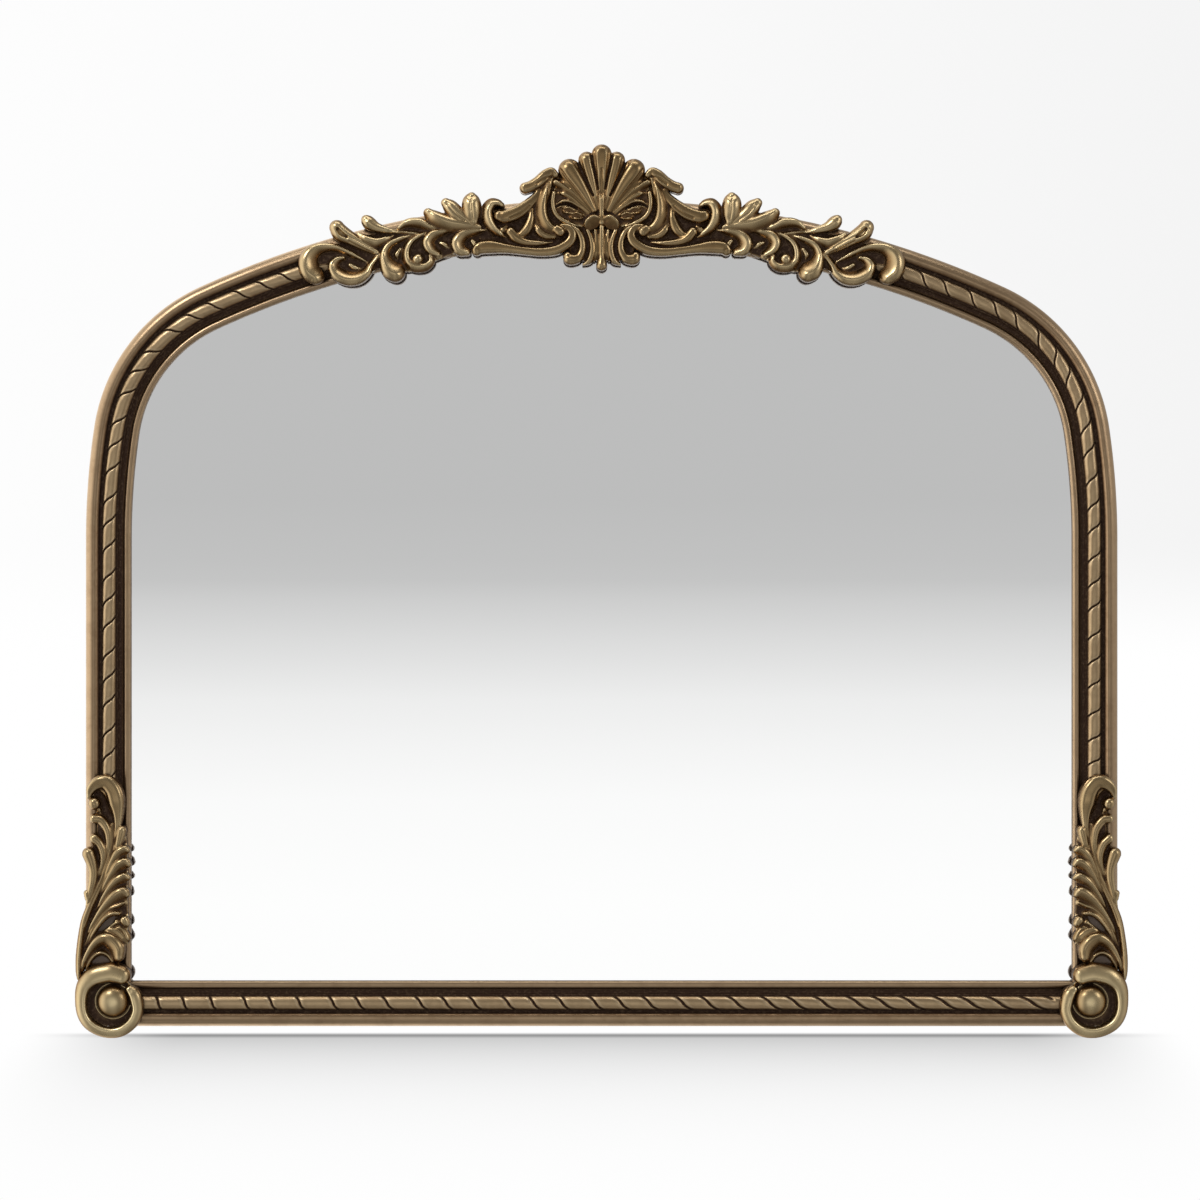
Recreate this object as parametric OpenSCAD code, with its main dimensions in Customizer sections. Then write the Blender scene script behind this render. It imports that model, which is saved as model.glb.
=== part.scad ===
// Arched wall mirror: a mitred frame with a flat arched head, a twisted rope
// moulding, a cast shell crest with scroll sprays, and cast corner leaves.
// Front faces -Y, the wall is the plane Y = 0, and +Z is up.

/* [Frame outline] */
// Width of the frame across its outer edges
frame_w = 1002; // [960:1:1120]
// Height of the straight stiles, from the bottom edge to the springing
spring_h = 473; // [430:1:600]
// Outer radius of the long flat curve above the springing
stile_r = 745; // [650:1:850]
// Angle of the long flat curve
stile_a = 8.4; // [7:0.1:10]
// Outer radius of the tight shoulder curve
shoulder_r = 178; // [150:1:200]
// Angle of the shoulder curve
shoulder_a = 57; // [55:0.5:60]

/* [Moulding] */
// Width of the outer bead
bead_w = 13; // [12:0.1:18]
// Height of the outer bead above the frame's back
bead_t = 21; // [19:0.1:24]
// Radius of the outer bead's rounded edge
bead_r = 9; // [7:0.1:10]
// Width of the groove beside the bead
groove_w = 2.8; // [2:0.1:4]
// Depth of that groove below the bead
groove_t = 5.5; // [4:0.1:7]
// Width of the rope strip
rope_w = 14.5; // [13:0.1:17]
// Height of the rope strip's ridge above the frame's back
rope_t = 21.5; // [20.5:0.1:24]
// Thickness of the rope strip above its seat
rope_body_t = 7; // [6:0.1:7.5]
// Width of the hollow between the rope and the lip
cove_w = 6.5; // [5.5:0.1:8]
// Width of the rounded inner lip
lip_w = 7; // [6:0.1:8]
// Height of the lip above the frame's back
lip_t = 16; // [14.5:0.1:18]

/* [Rope twist] */
// Length of three strokes of the twist, on the sides and arch
side_twist = 75.3; // [66:0.1:90]
// Length of three strokes of the twist, on the bottom rail
rail_twist = 84.8; // [75:0.1:96]
// Slant of the strokes away from square
twist_slant = 46; // [35:1:52]
// Width of a cut stroke
stroke_w = 1.2; // [0.8:0.1:2]
// Depth of a cut stroke
stroke_t = 1.3; // [0.8:0.1:2]

/* [Glass pack] */
// Width of the rebate behind the lip
rebate_w = 10; // [8:0.1:12]
// Thickness of the mirror glass
glass_t = 4; // [3:0.1:5]
// Thickness of the foam sheet behind the glass
foam_t = 2; // [1:0.1:3]
// Thickness of the backing board
board_t = 3.5; // [3:0.1:5]
// Gap between the glass edge and the rebate
glass_gap = 2; // [1:0.1:3]
// Gap between the backing board and the rebate
board_gap = 0.5; // [0.3:0.1:1]
// Length of a setting block under the glass
block_l = 40; // [25:1:60]

/* [Joints and fittings] */
// Diameter of the frame dowels
dowel_d = 6; // [5:0.1:7]
// Length of the frame dowels
dowel_l = 36; // [28:1:44]
// Thickness of the steel plates and clips on the back
plate_t = 1.5; // [1:0.1:2]
// Width of the steel plates
plate_w = 14; // [12:0.5:16]
// Length of a joint plate
plate_l = 70; // [60:1:90]
// Length of a corner brace's leg
brace_l = 66; // [56:1:80]
// Diameter of the screws' shanks
screw_d = 3; // [2.5:0.1:3.5]
// Diameter of the screws' heads
screw_head_d = 6.6; // [6:0.1:7.5]
// Height of the screws' heads
screw_head_t = 1.8; // [1.4:0.1:2]
// Length of the screws under the head
screw_l = 11; // [9:0.5:12]
// Length of a board clip
clip_l = 30; // [26:1:40]
// Width of a board clip
clip_w = 12; // [10:0.5:16]

/* [Hanging] */
// Gap between the frame's back and the wall, which the rubber pads fill
wall_gap = 7; // [6.6:0.1:9]
// Diameter of a wall pad
pad_d = 16; // [12:0.5:22]
// Gap between a joint plate and the hanger strap's lower end
hang_gap = 8; // [4:0.5:14]
// Diameter of the ring wire
wire_d = 3; // [2.6:0.1:3.2]
// Distance across the ring between wire centres
ring_w = 23; // [21:0.5:27]
// Length of the ring's straight sides
ring_side = 6; // [4:0.5:10]
// Thickness of the hanger strap's metal
strap_t = 1.1; // [0.8:0.1:1.2]
// Width of the hanger strap
strap_w = 14; // [12:0.5:15]
// Length of the hanger strap below the ring's pivot
strap_l = 34; // [32:0.5:40]

/* [Castings] */
// Height of a casting's back above the frame's back
cast_back = 13; // [11:0.5:15]
// Height of the castings' flat ground above the moulding's highest line
ground_rise = 1; // [0.6:0.1:2]
// Height of the strokes' shoulders above that ground
level_rise = 2.5; // [1.5:0.1:4]
// Height of the volute's floor above the moulding's highest line
floor_rise = 3; // [2.4:0.1:4]
// Roundness of a stroke, as rise over half width
stroke_rise = 1.1; // [0.8:0.05:1.4]
// Radius of the corner boss
boss_r = 15.5; // [13:0.1:16]
// Height of the corner boss above the volute's floor
boss_t = 11; // [8:0.5:13]
// Width of the volute's floor outside the boss
boss_rim = 9; // [6:0.5:10]

/* [Hidden] */

// Facets of the turned parts, the outline's long sweeps, the seats and the rooms
$fn = 48;
long_arc_fn = 360;
seat_fn = 180;
room_fn = 16;
// Running clearance of a shaft, clearance of a screw or dowel, and clearance under a casting
run_gap = 0.08;
hole_gap = 0.1;
seat_gap = 0.25;
// Clearance round each casting where its neighbour is cut away
cast_gap = 0.4;
// Angle between the facets of a seat's round stretches
seat_step = 22.5;
// A cutting solid reaches this far past what it cuts
past = 1;

// Outline: three tangent arcs on each side, from the springing to the crown
half_w = frame_w / 2;
c1 = [half_w - stile_r, spring_h];
e1 = c1 + stile_r * [cos(stile_a), sin(stile_a)];
c2 = e1 - shoulder_r * [cos(stile_a), sin(stile_a)];
crown_a = stile_a + shoulder_a;
e2 = c2 + shoulder_r * [cos(crown_a), sin(crown_a)];
crown_r = e2[0] / cos(crown_a);
c3 = [0, e2[1] - crown_r * sin(crown_a)];

// Offsets from the outer edge, and heights above the wall
groove_u = bead_w;
rope_u = bead_w + groove_w;
cove_u = rope_u + rope_w;
lip_u = cove_u + cove_w;
mould_w = lip_u + lip_w;
rebate_u = mould_w - rebate_w;
back_d = wall_gap;
board_d = back_d;
foam_d = board_d + board_t;
glass_d = foam_d + foam_t;
front_d = glass_d + glass_t;
bead_d = back_d + bead_t;
groove_d = bead_d - groove_t;
rope_d = back_d + rope_t;
rope_seat_d = rope_d - rope_body_t;
rope_mid = rope_u + rope_w / 2;
rope_half = rope_w / 2 - hole_gap;
lip_d = back_d + lip_t;
lip_r = lip_w / 2;
cove_d = front_d + 2;
frame_mid = rebate_u / 2;
high_t = max(bead_t, rope_t);
ground_t = high_t + ground_rise;
level_t = ground_t + level_rise;
floor_t = high_t + floor_rise;
over_d = back_d + 2 * level_t;

// A point on the arch's crown curve: s along the outer edge from the crown, n outside it
function on_crown(s, n) = c3 + (crown_r + n) * [sin(s / crown_r * 180 / PI), cos(s / crown_r * 180 / PI)];

// Half width of the frame's outer edge at a height above the springing
function edge_x(z) = z <= spring_h ? half_w : c1[0] + sqrt(pow(stile_r, 2) - pow(z - spring_h, 2));

// Everything is drawn from the frame's bottom edge, and hangs from the two wall hooks
module hung() { translate([0, 0, -hang_h]) children(); }

// The frame's outline, drawn in by a distance
function arc(centre, radius, from, to, step = 2) = let (n = ceil((to - from) / step))
    [for (i = [0 : n]) let (a = from + (to - from) * i / n) centre + radius * [cos(a), sin(a)]];
function right_edge(inset) = concat([[half_w - inset, inset]], arc(c1, stile_r - inset, 0, stile_a),
    arc(c2, shoulder_r - inset, stile_a + 2, crown_a - 2), arc(c3, crown_r - inset, crown_a, 90));
module outline(inset) {
    edge = right_edge(inset);
    polygon(concat(edge, [for (i = [len(edge) - 2 : -1 : 0]) [-edge[i][0], edge[i][1]]]));
}

// A plate of the outline's shape at a height above the wall
module plate(inset, depth, thick) {
    translate([0, -depth, 0]) rotate([90, 0, 0]) linear_extrude(thick) outline(inset);
}

// A solid drawn in the wall's plane, from one height above the wall to another
module upright(from, to) {
    translate([0, -from, 0]) rotate([90, 0, 0]) linear_extrude(to - from) children();
}

// Sweeps of a section drawn with its outer edge at x = 0 and the wall at y = 0
module swept_line(from, to) {
    mirror([0, 1, 0]) translate([half_w, 0, from]) linear_extrude(to - from) children();
}

module swept_arc(centre, radius, from, to, fn = long_arc_fn) {
    translate([centre[0], 0, centre[1]]) rotate([90, 0, 0])
        rotate_extrude(angle = to - from, start = from, $fn = fn) translate([radius, 0]) children();
}

module swept_rail() {
    mirror([0, 1, 0]) rotate([0, 90, 0]) linear_extrude(frame_w, center = true) children();
}

// Section of the frame moulding, with its rebate behind the lip
module moulding_section() {
    difference() {
        union() {
            translate([-rebate_u, back_d]) square([rebate_u, bead_d - bead_r - back_d]);
            translate([-groove_u, back_d + past]) square([groove_u - bead_r, bead_d - back_d - past]);
            translate([-bead_r, bead_d - bead_r]) circle(bead_r);
            translate([-cove_u - 1, back_d + past]) square([cove_u + 1 - groove_u, groove_d - back_d - past]);
            translate([-mould_w, front_d]) square([mould_w - groove_u, cove_d - front_d]);
            translate([-lip_u, front_d]) square([1, lip_d - lip_r - front_d]);
            translate([-mould_w, front_d]) square([lip_w, lip_d - lip_r - front_d]);
            translate([-mould_w + lip_r, lip_d - lip_r]) circle(lip_r);
        }
        translate([-rope_u - rope_w, rope_seat_d]) square([rope_w, rope_t]);
        translate([-rope_u, groove_d]) square([groove_w, bead_t]);
        translate([-cove_u - cove_w * 0.45, groove_d + 0.4]) circle(cove_w * 0.45);
        // The lip's round stops at the glass
        translate([-mould_w - past, front_d - lip_r]) square([lip_w + 2 * past, lip_r]);
    }
}

// Section of the rope strip; its core is what the strokes are cut down to
function rope_bow(high) = (rope_half * rope_half / high + high) / 2;
module rope_section(cut = 0) {
    high = rope_body_t - hole_gap - cut;
    intersection() {
        translate([-rope_mid, rope_d - cut - rope_bow(high)]) circle(rope_bow(high));
        translate([-rope_mid - rope_half + cut / 2, rope_seat_d + hole_gap])
            square([2 * rope_half - cut, high + past]);
    }
}

// Bottom corners are mitred at 45 degrees
module mitre_wedge() {
    upright(0, over_d)
        polygon([[half_w + past, -past], [half_w - 2 * mould_w, -past], [half_w - 2 * mould_w, 2 * mould_w]]);
}

module mitred_rail() {
    intersection() {
        swept_rail() children();
        upright(0, over_d)
            polygon([[-half_w, 0], [half_w, 0], [half_w - 2 * mould_w, 2 * mould_w],
                [2 * mould_w - half_w, 2 * mould_w]]);
    }
}

// Dowels lie in pairs across each joint, between the back and the rope's seat
dowel_z = (back_d + rope_seat_d) / 2;
dowel_u = [rebate_u * 0.27, rebate_u * 0.73];
module dowel_pair(at, angle, extra) {
    for (u = dowel_u)
        translate([at[0], -dowel_z, at[1]]) rotate([0, -angle, 0]) translate([-u, 0, 0])
            cylinder(h = dowel_l + 2 * extra, d = dowel_d + 2 * extra, center = true);
}

// The mitre's dowels are short, square to the joint and well inside it
module mitre_dowels(extra) {
    for (u = dowel_u)
        translate([half_w - u, -dowel_z, u]) rotate([0, 45, 0])
            cylinder(h = dowel_l / 3 + 2 * extra, d = dowel_d + 2 * extra, center = true);
}

module side_dowels(extra) {
    mitre_dowels(extra);
    dowel_pair([half_w, spring_h], 0, extra);
    dowel_pair(e1, stile_a, extra);
    dowel_pair(e2, crown_a, extra);
}

// Screws stand in the frame's back with their heads towards the wall
module screw(x, z, under) {
    translate([x, -under, z]) rotate([-90, 0, 0]) {
        translate([0, 0, -screw_l]) cylinder(h = screw_l, d = screw_d);
        cylinder(h = screw_head_t, d1 = screw_head_d, d2 = screw_head_d * 0.7);
    }
}

module pilot(x, z) {
    translate([x, -back_d + past, z]) rotate([90, 0, 0])
        cylinder(h = screw_l + past + hole_gap, d = screw_d + 2 * hole_gap);
}

module plate_hole(x, z) {
    translate([x, -back_d - past, z]) rotate([-90, 0, 0])
        cylinder(h = wall_gap + 2 * past, d = screw_d + 2 * hole_gap);
}

// Corner braces follow the middle of the frame's back, two screws to a leg
brace_holes = [0.42, 0.86];
brace_screw_at = [for (k = brace_holes) [half_w - frame_mid, frame_mid + (brace_l - frame_mid) * k],
    for (k = brace_holes) [half_w - frame_mid - (brace_l - frame_mid) * k, frame_mid]];
module corner_brace() {
    inner = frame_mid + plate_w / 2;
    outer = frame_mid - plate_w / 2;
    difference() {
        upright(back_d - plate_t, back_d) difference() {
            translate([half_w - brace_l, outer]) square([brace_l - outer, brace_l - outer]);
            translate([half_w - brace_l - past, inner])
                square([brace_l + past - inner, brace_l]);
        }
        for (at = brace_screw_at) plate_hole(at[0], at[1]);
    }
}

// Joint plates lie across the joints at the springing and at the shoulder
plate_holes = [-0.42, -0.17, 0.17, 0.42];
spring_plate = [half_w - frame_mid, spring_h, 0];
crown_plate = [e2[0] - frame_mid * cos(crown_a), e2[1] - frame_mid * sin(crown_a), crown_a];
function along(at, step) = [at[0] - step * sin(at[2]), at[1] + step * cos(at[2])];
plate_screw_at = [for (at = [spring_plate, crown_plate]) for (k = plate_holes) along(at, k * plate_l)];
module joint_plate(at) {
    difference() {
        upright(back_d - plate_t, back_d) translate([at[0], at[1]]) rotate(at[2])
            translate([-plate_w / 2, -plate_l / 2]) square([plate_w, plate_l]);
        for (k = plate_holes) plate_hole(along(at, k * plate_l)[0], along(at, k * plate_l)[1]);
    }
}

// Board clips sit across the rebate's edge, screwed to the frame
clip_side_z = [0.32, 0.68];
clip_rail_x = 0.5;
clip_shoulder_a = 40;
clip_crown_a = [crown_a + 7, 83];
clip_at = concat([for (k = clip_side_z) [half_w - rebate_u, spring_h * k, 0]],
    [[half_w * clip_rail_x, rebate_u, -90]],
    [[c2[0] + (shoulder_r - rebate_u) * cos(clip_shoulder_a),
        c2[1] + (shoulder_r - rebate_u) * sin(clip_shoulder_a), clip_shoulder_a]],
    [for (a = clip_crown_a) [(crown_r - rebate_u) * cos(a), c3[1] + (crown_r - rebate_u) * sin(a), a]]);
clip_hole = clip_l * 0.27;
clip_screw_at = [for (at = clip_at) [at[0] + clip_hole * cos(at[2]), at[1] + clip_hole * sin(at[2])]];
module board_clip(at) {
    difference() {
        upright(back_d - plate_t, back_d) translate([at[0], at[1]]) rotate(at[2]) {
            translate([(clip_l - clip_w) / 2, 0]) circle(clip_w / 2);
            translate([-clip_l / 2, -clip_w / 2]) square([clip_l - clip_w / 2, clip_w]);
        }
        plate_hole(at[0] + clip_hole * cos(at[2]), at[1] + clip_hole * sin(at[2]));
    }
}

// Hangers: a folded strap holds the straight bar of each ring
knuckle_r = wire_d / 2 + run_gap + strap_t;
pivot_d = back_d - knuckle_r;
ring_reach = ring_side + ring_w / 2 - wire_d / 2;
pivot_h = spring_h + plate_l / 2 + hang_gap + strap_l;
hang_h = pivot_h + ring_reach;
hang_x = edge_x(hang_h) - frame_mid;
strap_screw = [9.5, strap_l - 6.5];
strap_screw_at = [for (k = strap_screw) [hang_x, pivot_h - k]];

// All the pilot holes on one side
side_pilots = concat(brace_screw_at, plate_screw_at, clip_screw_at, strap_screw_at);
module frame_holes() {
    for (at = side_pilots) pilot(at[0], at[1]);
    side_dowels(hole_gap);
}

module right_stile_body() {
    difference() {
        swept_line(0, spring_h) moulding_section();
        mitre_wedge();
        frame_holes();
    }
}

// The side's curved lengths: the haunch above the stile, then the shoulder
module curved_length(centre, radius, from, to) {
    difference() {
        swept_arc(centre, radius, from, to) moulding_section();
        frame_holes();
    }
}

module right_haunch_body() { curved_length(c1, stile_r, 0, stile_a); }
module right_shoulder_body() { curved_length(c2, shoulder_r, stile_a, crown_a); }

module right_stile() { color("rosybrown") hung() right_stile_body(); }
module left_stile() { color("rosybrown") hung() mirror([1, 0, 0]) right_stile_body(); }
module right_haunch() { color("bisque") hung() right_haunch_body(); }
module left_haunch() { color("bisque") hung() mirror([1, 0, 0]) right_haunch_body(); }
module right_shoulder() { color("tan") hung() right_shoulder_body(); }
module left_shoulder() { color("tan") hung() mirror([1, 0, 0]) right_shoulder_body(); }

module crown_rail() {
    color("burlywood") hung() difference() {
        swept_arc(c3, crown_r, crown_a, 180 - crown_a) moulding_section();
        frame_holes();
        mirror([1, 0, 0]) frame_holes();
    }
}

module bottom_rail() {
    color("burlywood") hung() difference() {
        mitred_rail() moulding_section();
        frame_holes();
        mirror([1, 0, 0]) frame_holes();
    }
}

// Rope strips: three strokes repeat with short, middle and long spaces, and
// the twist runs one way round the whole frame
twist_steps = [0, 0.303, 0.632];
rope_r1 = stile_r - rope_mid;
rope_r2 = shoulder_r - rope_mid;
rope_r3 = crown_r - rope_mid;
rope_l1 = rope_r1 * stile_a * PI / 180;
rope_l2 = rope_r2 * shoulder_a * PI / 180;
rope_l3 = rope_r3 * (90 - crown_a) * PI / 180;

// Place and direction on the rope's middle line, by distance from the bottom edge
function rope_at(s) = s < spring_h ? [half_w - rope_mid, s, 0]
    : s < spring_h + rope_l1 ? turned(c1, rope_r1, (s - spring_h) / rope_r1 * 180 / PI)
    : s < spring_h + rope_l1 + rope_l2
        ? turned(c2, rope_r2, stile_a + (s - spring_h - rope_l1) / rope_r2 * 180 / PI)
    : turned(c3, rope_r3, crown_a + (s - spring_h - rope_l1 - rope_l2) / rope_r3 * 180 / PI);
function turned(centre, radius, a) = [centre[0] + radius * cos(a), centre[1] + radius * sin(a), a];

// The strokes run from the corner leaf to the spray's end, and between the volutes
rope_from = 256;
spray_reach = 272;
volute_reach = 72;
rope_to = spring_h + rope_l1 + rope_l2 + rope_l3 - spray_reach;
side_strokes = [for (k = [0 : floor((rope_to - rope_from) / side_twist)]) for (f = twist_steps)
    let (s = rope_from + (k + f) * side_twist) if (s < rope_to) s];
rail_reach = half_w - volute_reach;
rail_strokes = [for (k = [0 : floor(rail_reach * 2 / rail_twist)]) for (f = twist_steps)
    let (x = (k + f) * rail_twist - rail_reach) if (x < rail_reach) x];

module stroke_cut(at, slant) {
    long = 2 * rope_w / cos(slant);
    translate([at[0], -rope_d - past, at[1]]) rotate([0, -at[2] - slant, 0])
        translate([-long / 2, 0, -stroke_w / 2]) cube([long, rope_body_t + past - 1, stroke_w]);
}

// A length of rope strip with its strokes cut down to the core
module cut_rope(slant, from, to) {
    difference() {
        children(0);
        difference() {
            for (s = side_strokes) if (s > from - rope_w && s < to + rope_w) stroke_cut(rope_at(s), slant);
            children(1);
        }
    }
}

// The strip is laid in four lengths, butted with a hair's gap
function butt(radius) = hole_gap / radius * 180 / PI;

module side_rope(slant) {
    starts = [0, spring_h, spring_h + rope_l1, spring_h + rope_l1 + rope_l2, rope_to];
    cut_rope(slant, starts[0], starts[1]) {
        difference() {
            swept_line(rope_mid - rope_w, spring_h - hole_gap) rope_section();
            mitre_wedge();
        }
        swept_line(rope_mid - rope_w, spring_h + past) rope_section(stroke_t);
    }
    arcs = [[c1, stile_r, 0, stile_a], [c2, shoulder_r, stile_a, crown_a], [c3, crown_r, crown_a, 90]];
    for (i = [0 : 2]) let (c = arcs[i][0], r = arcs[i][1], a = arcs[i][2], b = arcs[i][3])
        cut_rope(slant, starts[i + 1], starts[i + 2]) {
            swept_arc(c, r, a + butt(r), b - butt(r)) rope_section();
            swept_arc(c, r, a - 1, b + 1) rope_section(stroke_t);
        }
}

module right_rope() { color("peru") hung() side_rope(twist_slant); }
module left_rope() { color("peru") hung() mirror([1, 0, 0]) side_rope(-twist_slant); }
module bottom_rope() {
    color("peru") hung() difference() {
        mitred_rail() rope_section();
        difference() {
            for (x = rail_strokes) stroke_cut([x, rope_mid, 90], -twist_slant);
            swept_rail() rope_section(stroke_t);
        }
    }
}

// Glass pack
glass_inset = rebate_u + glass_gap;
module mirror_glass() { color("lightsteelblue") hung() plate(glass_inset, glass_d, glass_t); }
module foam_sheet() { color("whitesmoke") hung() plate(glass_inset, foam_d, foam_t); }
module backing_board() { color("saddlebrown") hung() plate(rebate_u + board_gap, board_d, board_t); }

module setting_blocks() {
    color("dimgray") hung() for (side = [-1, 1])
        translate([side * half_w / 2 - block_l / 2, -front_d, rebate_u]) cube([block_l, glass_t, glass_gap]);
}

// Draws a thing on both sides
module both_sides() {
    children();
    mirror([1, 0, 0]) children();
}

module board_clips() { color("silver") hung() both_sides() for (at = clip_at) board_clip(at); }
module clip_screws() {
    color("gainsboro") hung() both_sides() for (at = clip_screw_at) screw(at[0], at[1], back_d - plate_t);
}

module frame_dowels() { color("wheat") hung() both_sides() side_dowels(0); }
module corner_braces() { color("silver") hung() both_sides() corner_brace(); }
module joint_plates() {
    color("silver") hung() both_sides() for (at = [spring_plate, crown_plate]) joint_plate(at);
}
module brace_screws() {
    color("gainsboro") hung() both_sides()
        for (at = concat(brace_screw_at, plate_screw_at)) screw(at[0], at[1], back_d - plate_t);
}

module hanger_strap() {
    difference() {
        union() {
            translate([hang_x, -pivot_d, pivot_h]) rotate([0, 90, 0])
                cylinder(h = strap_w, r = knuckle_r, center = true);
            translate([hang_x - strap_w / 2, -back_d, pivot_h - strap_l + strap_w / 2])
                cube([strap_w, 2 * strap_t, strap_l - strap_w / 2]);
            translate([hang_x, -back_d, pivot_h - strap_l + strap_w / 2]) rotate([-90, 0, 0])
                cylinder(h = 2 * strap_t, d = strap_w);
        }
        translate([hang_x, -pivot_d, pivot_h]) rotate([0, 90, 0])
            cylinder(h = strap_w + 2 * past, r = wire_d / 2 + run_gap, center = true);
        for (at = strap_screw_at) plate_hole(at[0], at[1]);
    }
}

module d_ring() {
    translate([hang_x, -pivot_d, pivot_h]) {
        rotate([0, 90, 0]) cylinder(h = ring_w, d = wire_d, center = true);
        for (side = [-1, 1]) translate([side * ring_w / 2, 0, 0]) {
            sphere(d = wire_d);
            cylinder(h = ring_side, d = wire_d);
        }
        translate([0, 0, ring_side]) rotate([90, 0, 0])
            rotate_extrude(angle = 180) translate([ring_w / 2, 0]) circle(d = wire_d);
    }
}

module right_hanger_strap() { color("goldenrod") hung() hanger_strap(); }
module left_hanger_strap() { color("goldenrod") hung() mirror([1, 0, 0]) hanger_strap(); }
module right_d_ring() { color("gold") hung() d_ring(); }
module left_d_ring() { color("gold") hung() mirror([1, 0, 0]) d_ring(); }
module hanger_screws() {
    color("gainsboro") hung() both_sides()
        for (at = strap_screw_at) screw(at[0], at[1], back_d - 2 * strap_t);
}

// Rubber pads at the two bottom corners and on the two shoulders
pad_low_z = brace_l + pad_d;
pad_high_a = 25;
pad_at = [[half_w - frame_mid, pad_low_z],
    [c2[0] + (shoulder_r - frame_mid) * cos(pad_high_a), c2[1] + (shoulder_r - frame_mid) * sin(pad_high_a)]];
module wall_pads() {
    color("dimgray") hung() both_sides() for (at = pad_at)
        translate([at[0], 0, at[1]]) rotate([90, 0, 0]) cylinder(h = wall_gap, d = pad_d);
}

// A smooth curve through points of [x, z, half width], as Catmull-Rom steps
function smooth(p, steps) = [for (i = [0 : len(p) - 2]) for (k = [0 : steps - 1])
    let (a = p[max(i - 1, 0)], b = p[i], c = p[i + 1], d = p[min(i + 2, len(p) - 1)], t = k / steps)
        (2 * b + t * (c - a) + t * t * (2 * a - 5 * b + 4 * c - d) + t * t * t * (3 * b - a - 3 * c + d)) / 2,
    p[len(p) - 1]];

// Direction of a curve at one of its points
function heading(p, i) = let (v = p[min(i + 1, len(p) - 1)] - p[max(i - 1, 0)]) atan2(v[1], v[0]);

// An extra point that rounds off a curve's end
cap_a = 62;
function cap(p, i, way) = let (a = heading(p, i), w = p[i][2])
    [[p[i][0] + way * w * sin(cap_a) * cos(a), p[i][1] + way * w * sin(cap_a) * sin(a), w * cos(cap_a)]];
function rounded_ends(p) = concat(cap(p, 0, -1), p, cap(p, len(p) - 1, 1));

// One ring of a stroke: a round-topped section standing on the casting's back
low_d = back_d + cast_back;
function ring(p, a, level) = let (w = p[2], side = [sin(a), 0, -cos(a)], at = [p[0], 0, p[1]])
    concat([at - w * side - [0, low_d, 0], at + w * side - [0, low_d, 0]],
        [for (t = [0 : 45 : 180]) at + w * cos(t) * side
            - [0, back_d + level + w * stroke_rise * sin(t), 0]]);

// A modelled stroke along a curve, its section following the half widths
module stroke(points, level = level_t, steps = 2) {
    p = rounded_ends(smooth(points, steps));
    rings = [for (i = [0 : len(p) - 1]) ring(p[i], heading(p, i), level)];
    n = len(rings[0]);
    for (i = [0 : len(rings) - 2]) hull()
        polyhedron(concat(rings[i], rings[i + 1]),
            [[for (k = [0 : n - 1]) k], [for (k = [0 : n - 1]) n + k]]);
}

// The plan of a stroke, as a chain of hulled circles
module flat_stroke(points) {
    p = smooth(points, 2);
    for (i = [0 : len(p) - 2]) hull() {
        translate([p[i][0], p[i][1]]) circle(p[i][2], $fn = room_fn);
        translate([p[i + 1][0], p[i + 1][1]]) circle(p[i + 1][2], $fn = room_fn);
    }
}

// What the castings sit on: the moulding's high lines, a little enlarged, with facets that stay
// outside its round stretches
function faceted(centre, radius, from, to) = let (r = (radius + seat_gap) / cos(seat_step / 2))
    [for (a = [from + seat_step / 2 : seat_step : to]) centre + r * [cos(a), sin(a)]];
module seat_section() {
    bow = rope_bow(rope_body_t - hole_gap);
    polygon(concat([[seat_gap, 0]], faceted([-bead_r, bead_d - bead_r], bead_r, 0, 90),
        faceted([-rope_mid, rope_d - bow], bow, 90 - seat_step, 180), [[-rope_mid - bow - seat_gap, 0]]));
    translate([-mould_w - seat_gap, 0]) square([mould_w + seat_gap, lip_d + seat_gap]);
}

module seat_arch() { swept_arc(c3, crown_r, crown_a, 180 - crown_a, seat_fn) seat_section(); }
module seat_corner() {
    swept_line(0, spring_h) seat_section();
    intersection() {
        swept_rail() seat_section();
        translate([0, -half_w, 0]) cube([half_w, half_w, spring_h]);
    }
}

// Crest strokes are given along the arch: distance from the crown, height over
// the outer edge, half width. Corner strokes: distance in from the outer edge,
// height over the bottom edge, half width.
function crest(p) = [for (q = p) let (at = on_crown(q[0], q[1])) [at[0], at[1], q[2]]];
function corner(p) = [for (q = p) [half_w - q[0], q[1], q[2]]];

// The shell's ground, leaflets, side lobes and middle lobe stand this much higher than other castings
shell_lift = 0.6;
leaflet_lift = 1;
lobe_lift = 2;
mid_lift = 3;
shell_mid = [[0, -8, 3.5], [0, 12, 5.5], [0, 30, 8], [0, 43.6, 9.3]];
shell_lobes = [[[4, -12, 2.5], [8, 10, 4], [12.5, 28, 5.5], [15, 38, 5.5]],
    [[6, -14, 2.5], [14, 5, 4.2], [23, 20, 6.5], [30, 29, 8]],
    [[9, -14, 2], [20, 1, 3.2], [32, 12.7, 4.6], [41, 20, 4.8]],
    [[11, -16, 1.8], [22, -5, 2.4], [33, 2, 3], [41, 5, 2.6]],
    [[13, -17, 1.5], [24, -9, 1.8], [35, -4.5, 2], [46, -5, 1.6]]];
shell_leaflets = [[[16, -18, 2], [27, -17, 3], [33, -14, 3.2], [37, -11, 2]],
    [[14, -24, 2.5], [22, -22, 2.6], [29, -19, 2.2]],
    [[5.5, -24, 2.4], [9.5, -26, 3.8], [14, -24, 2.5]]];
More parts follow.
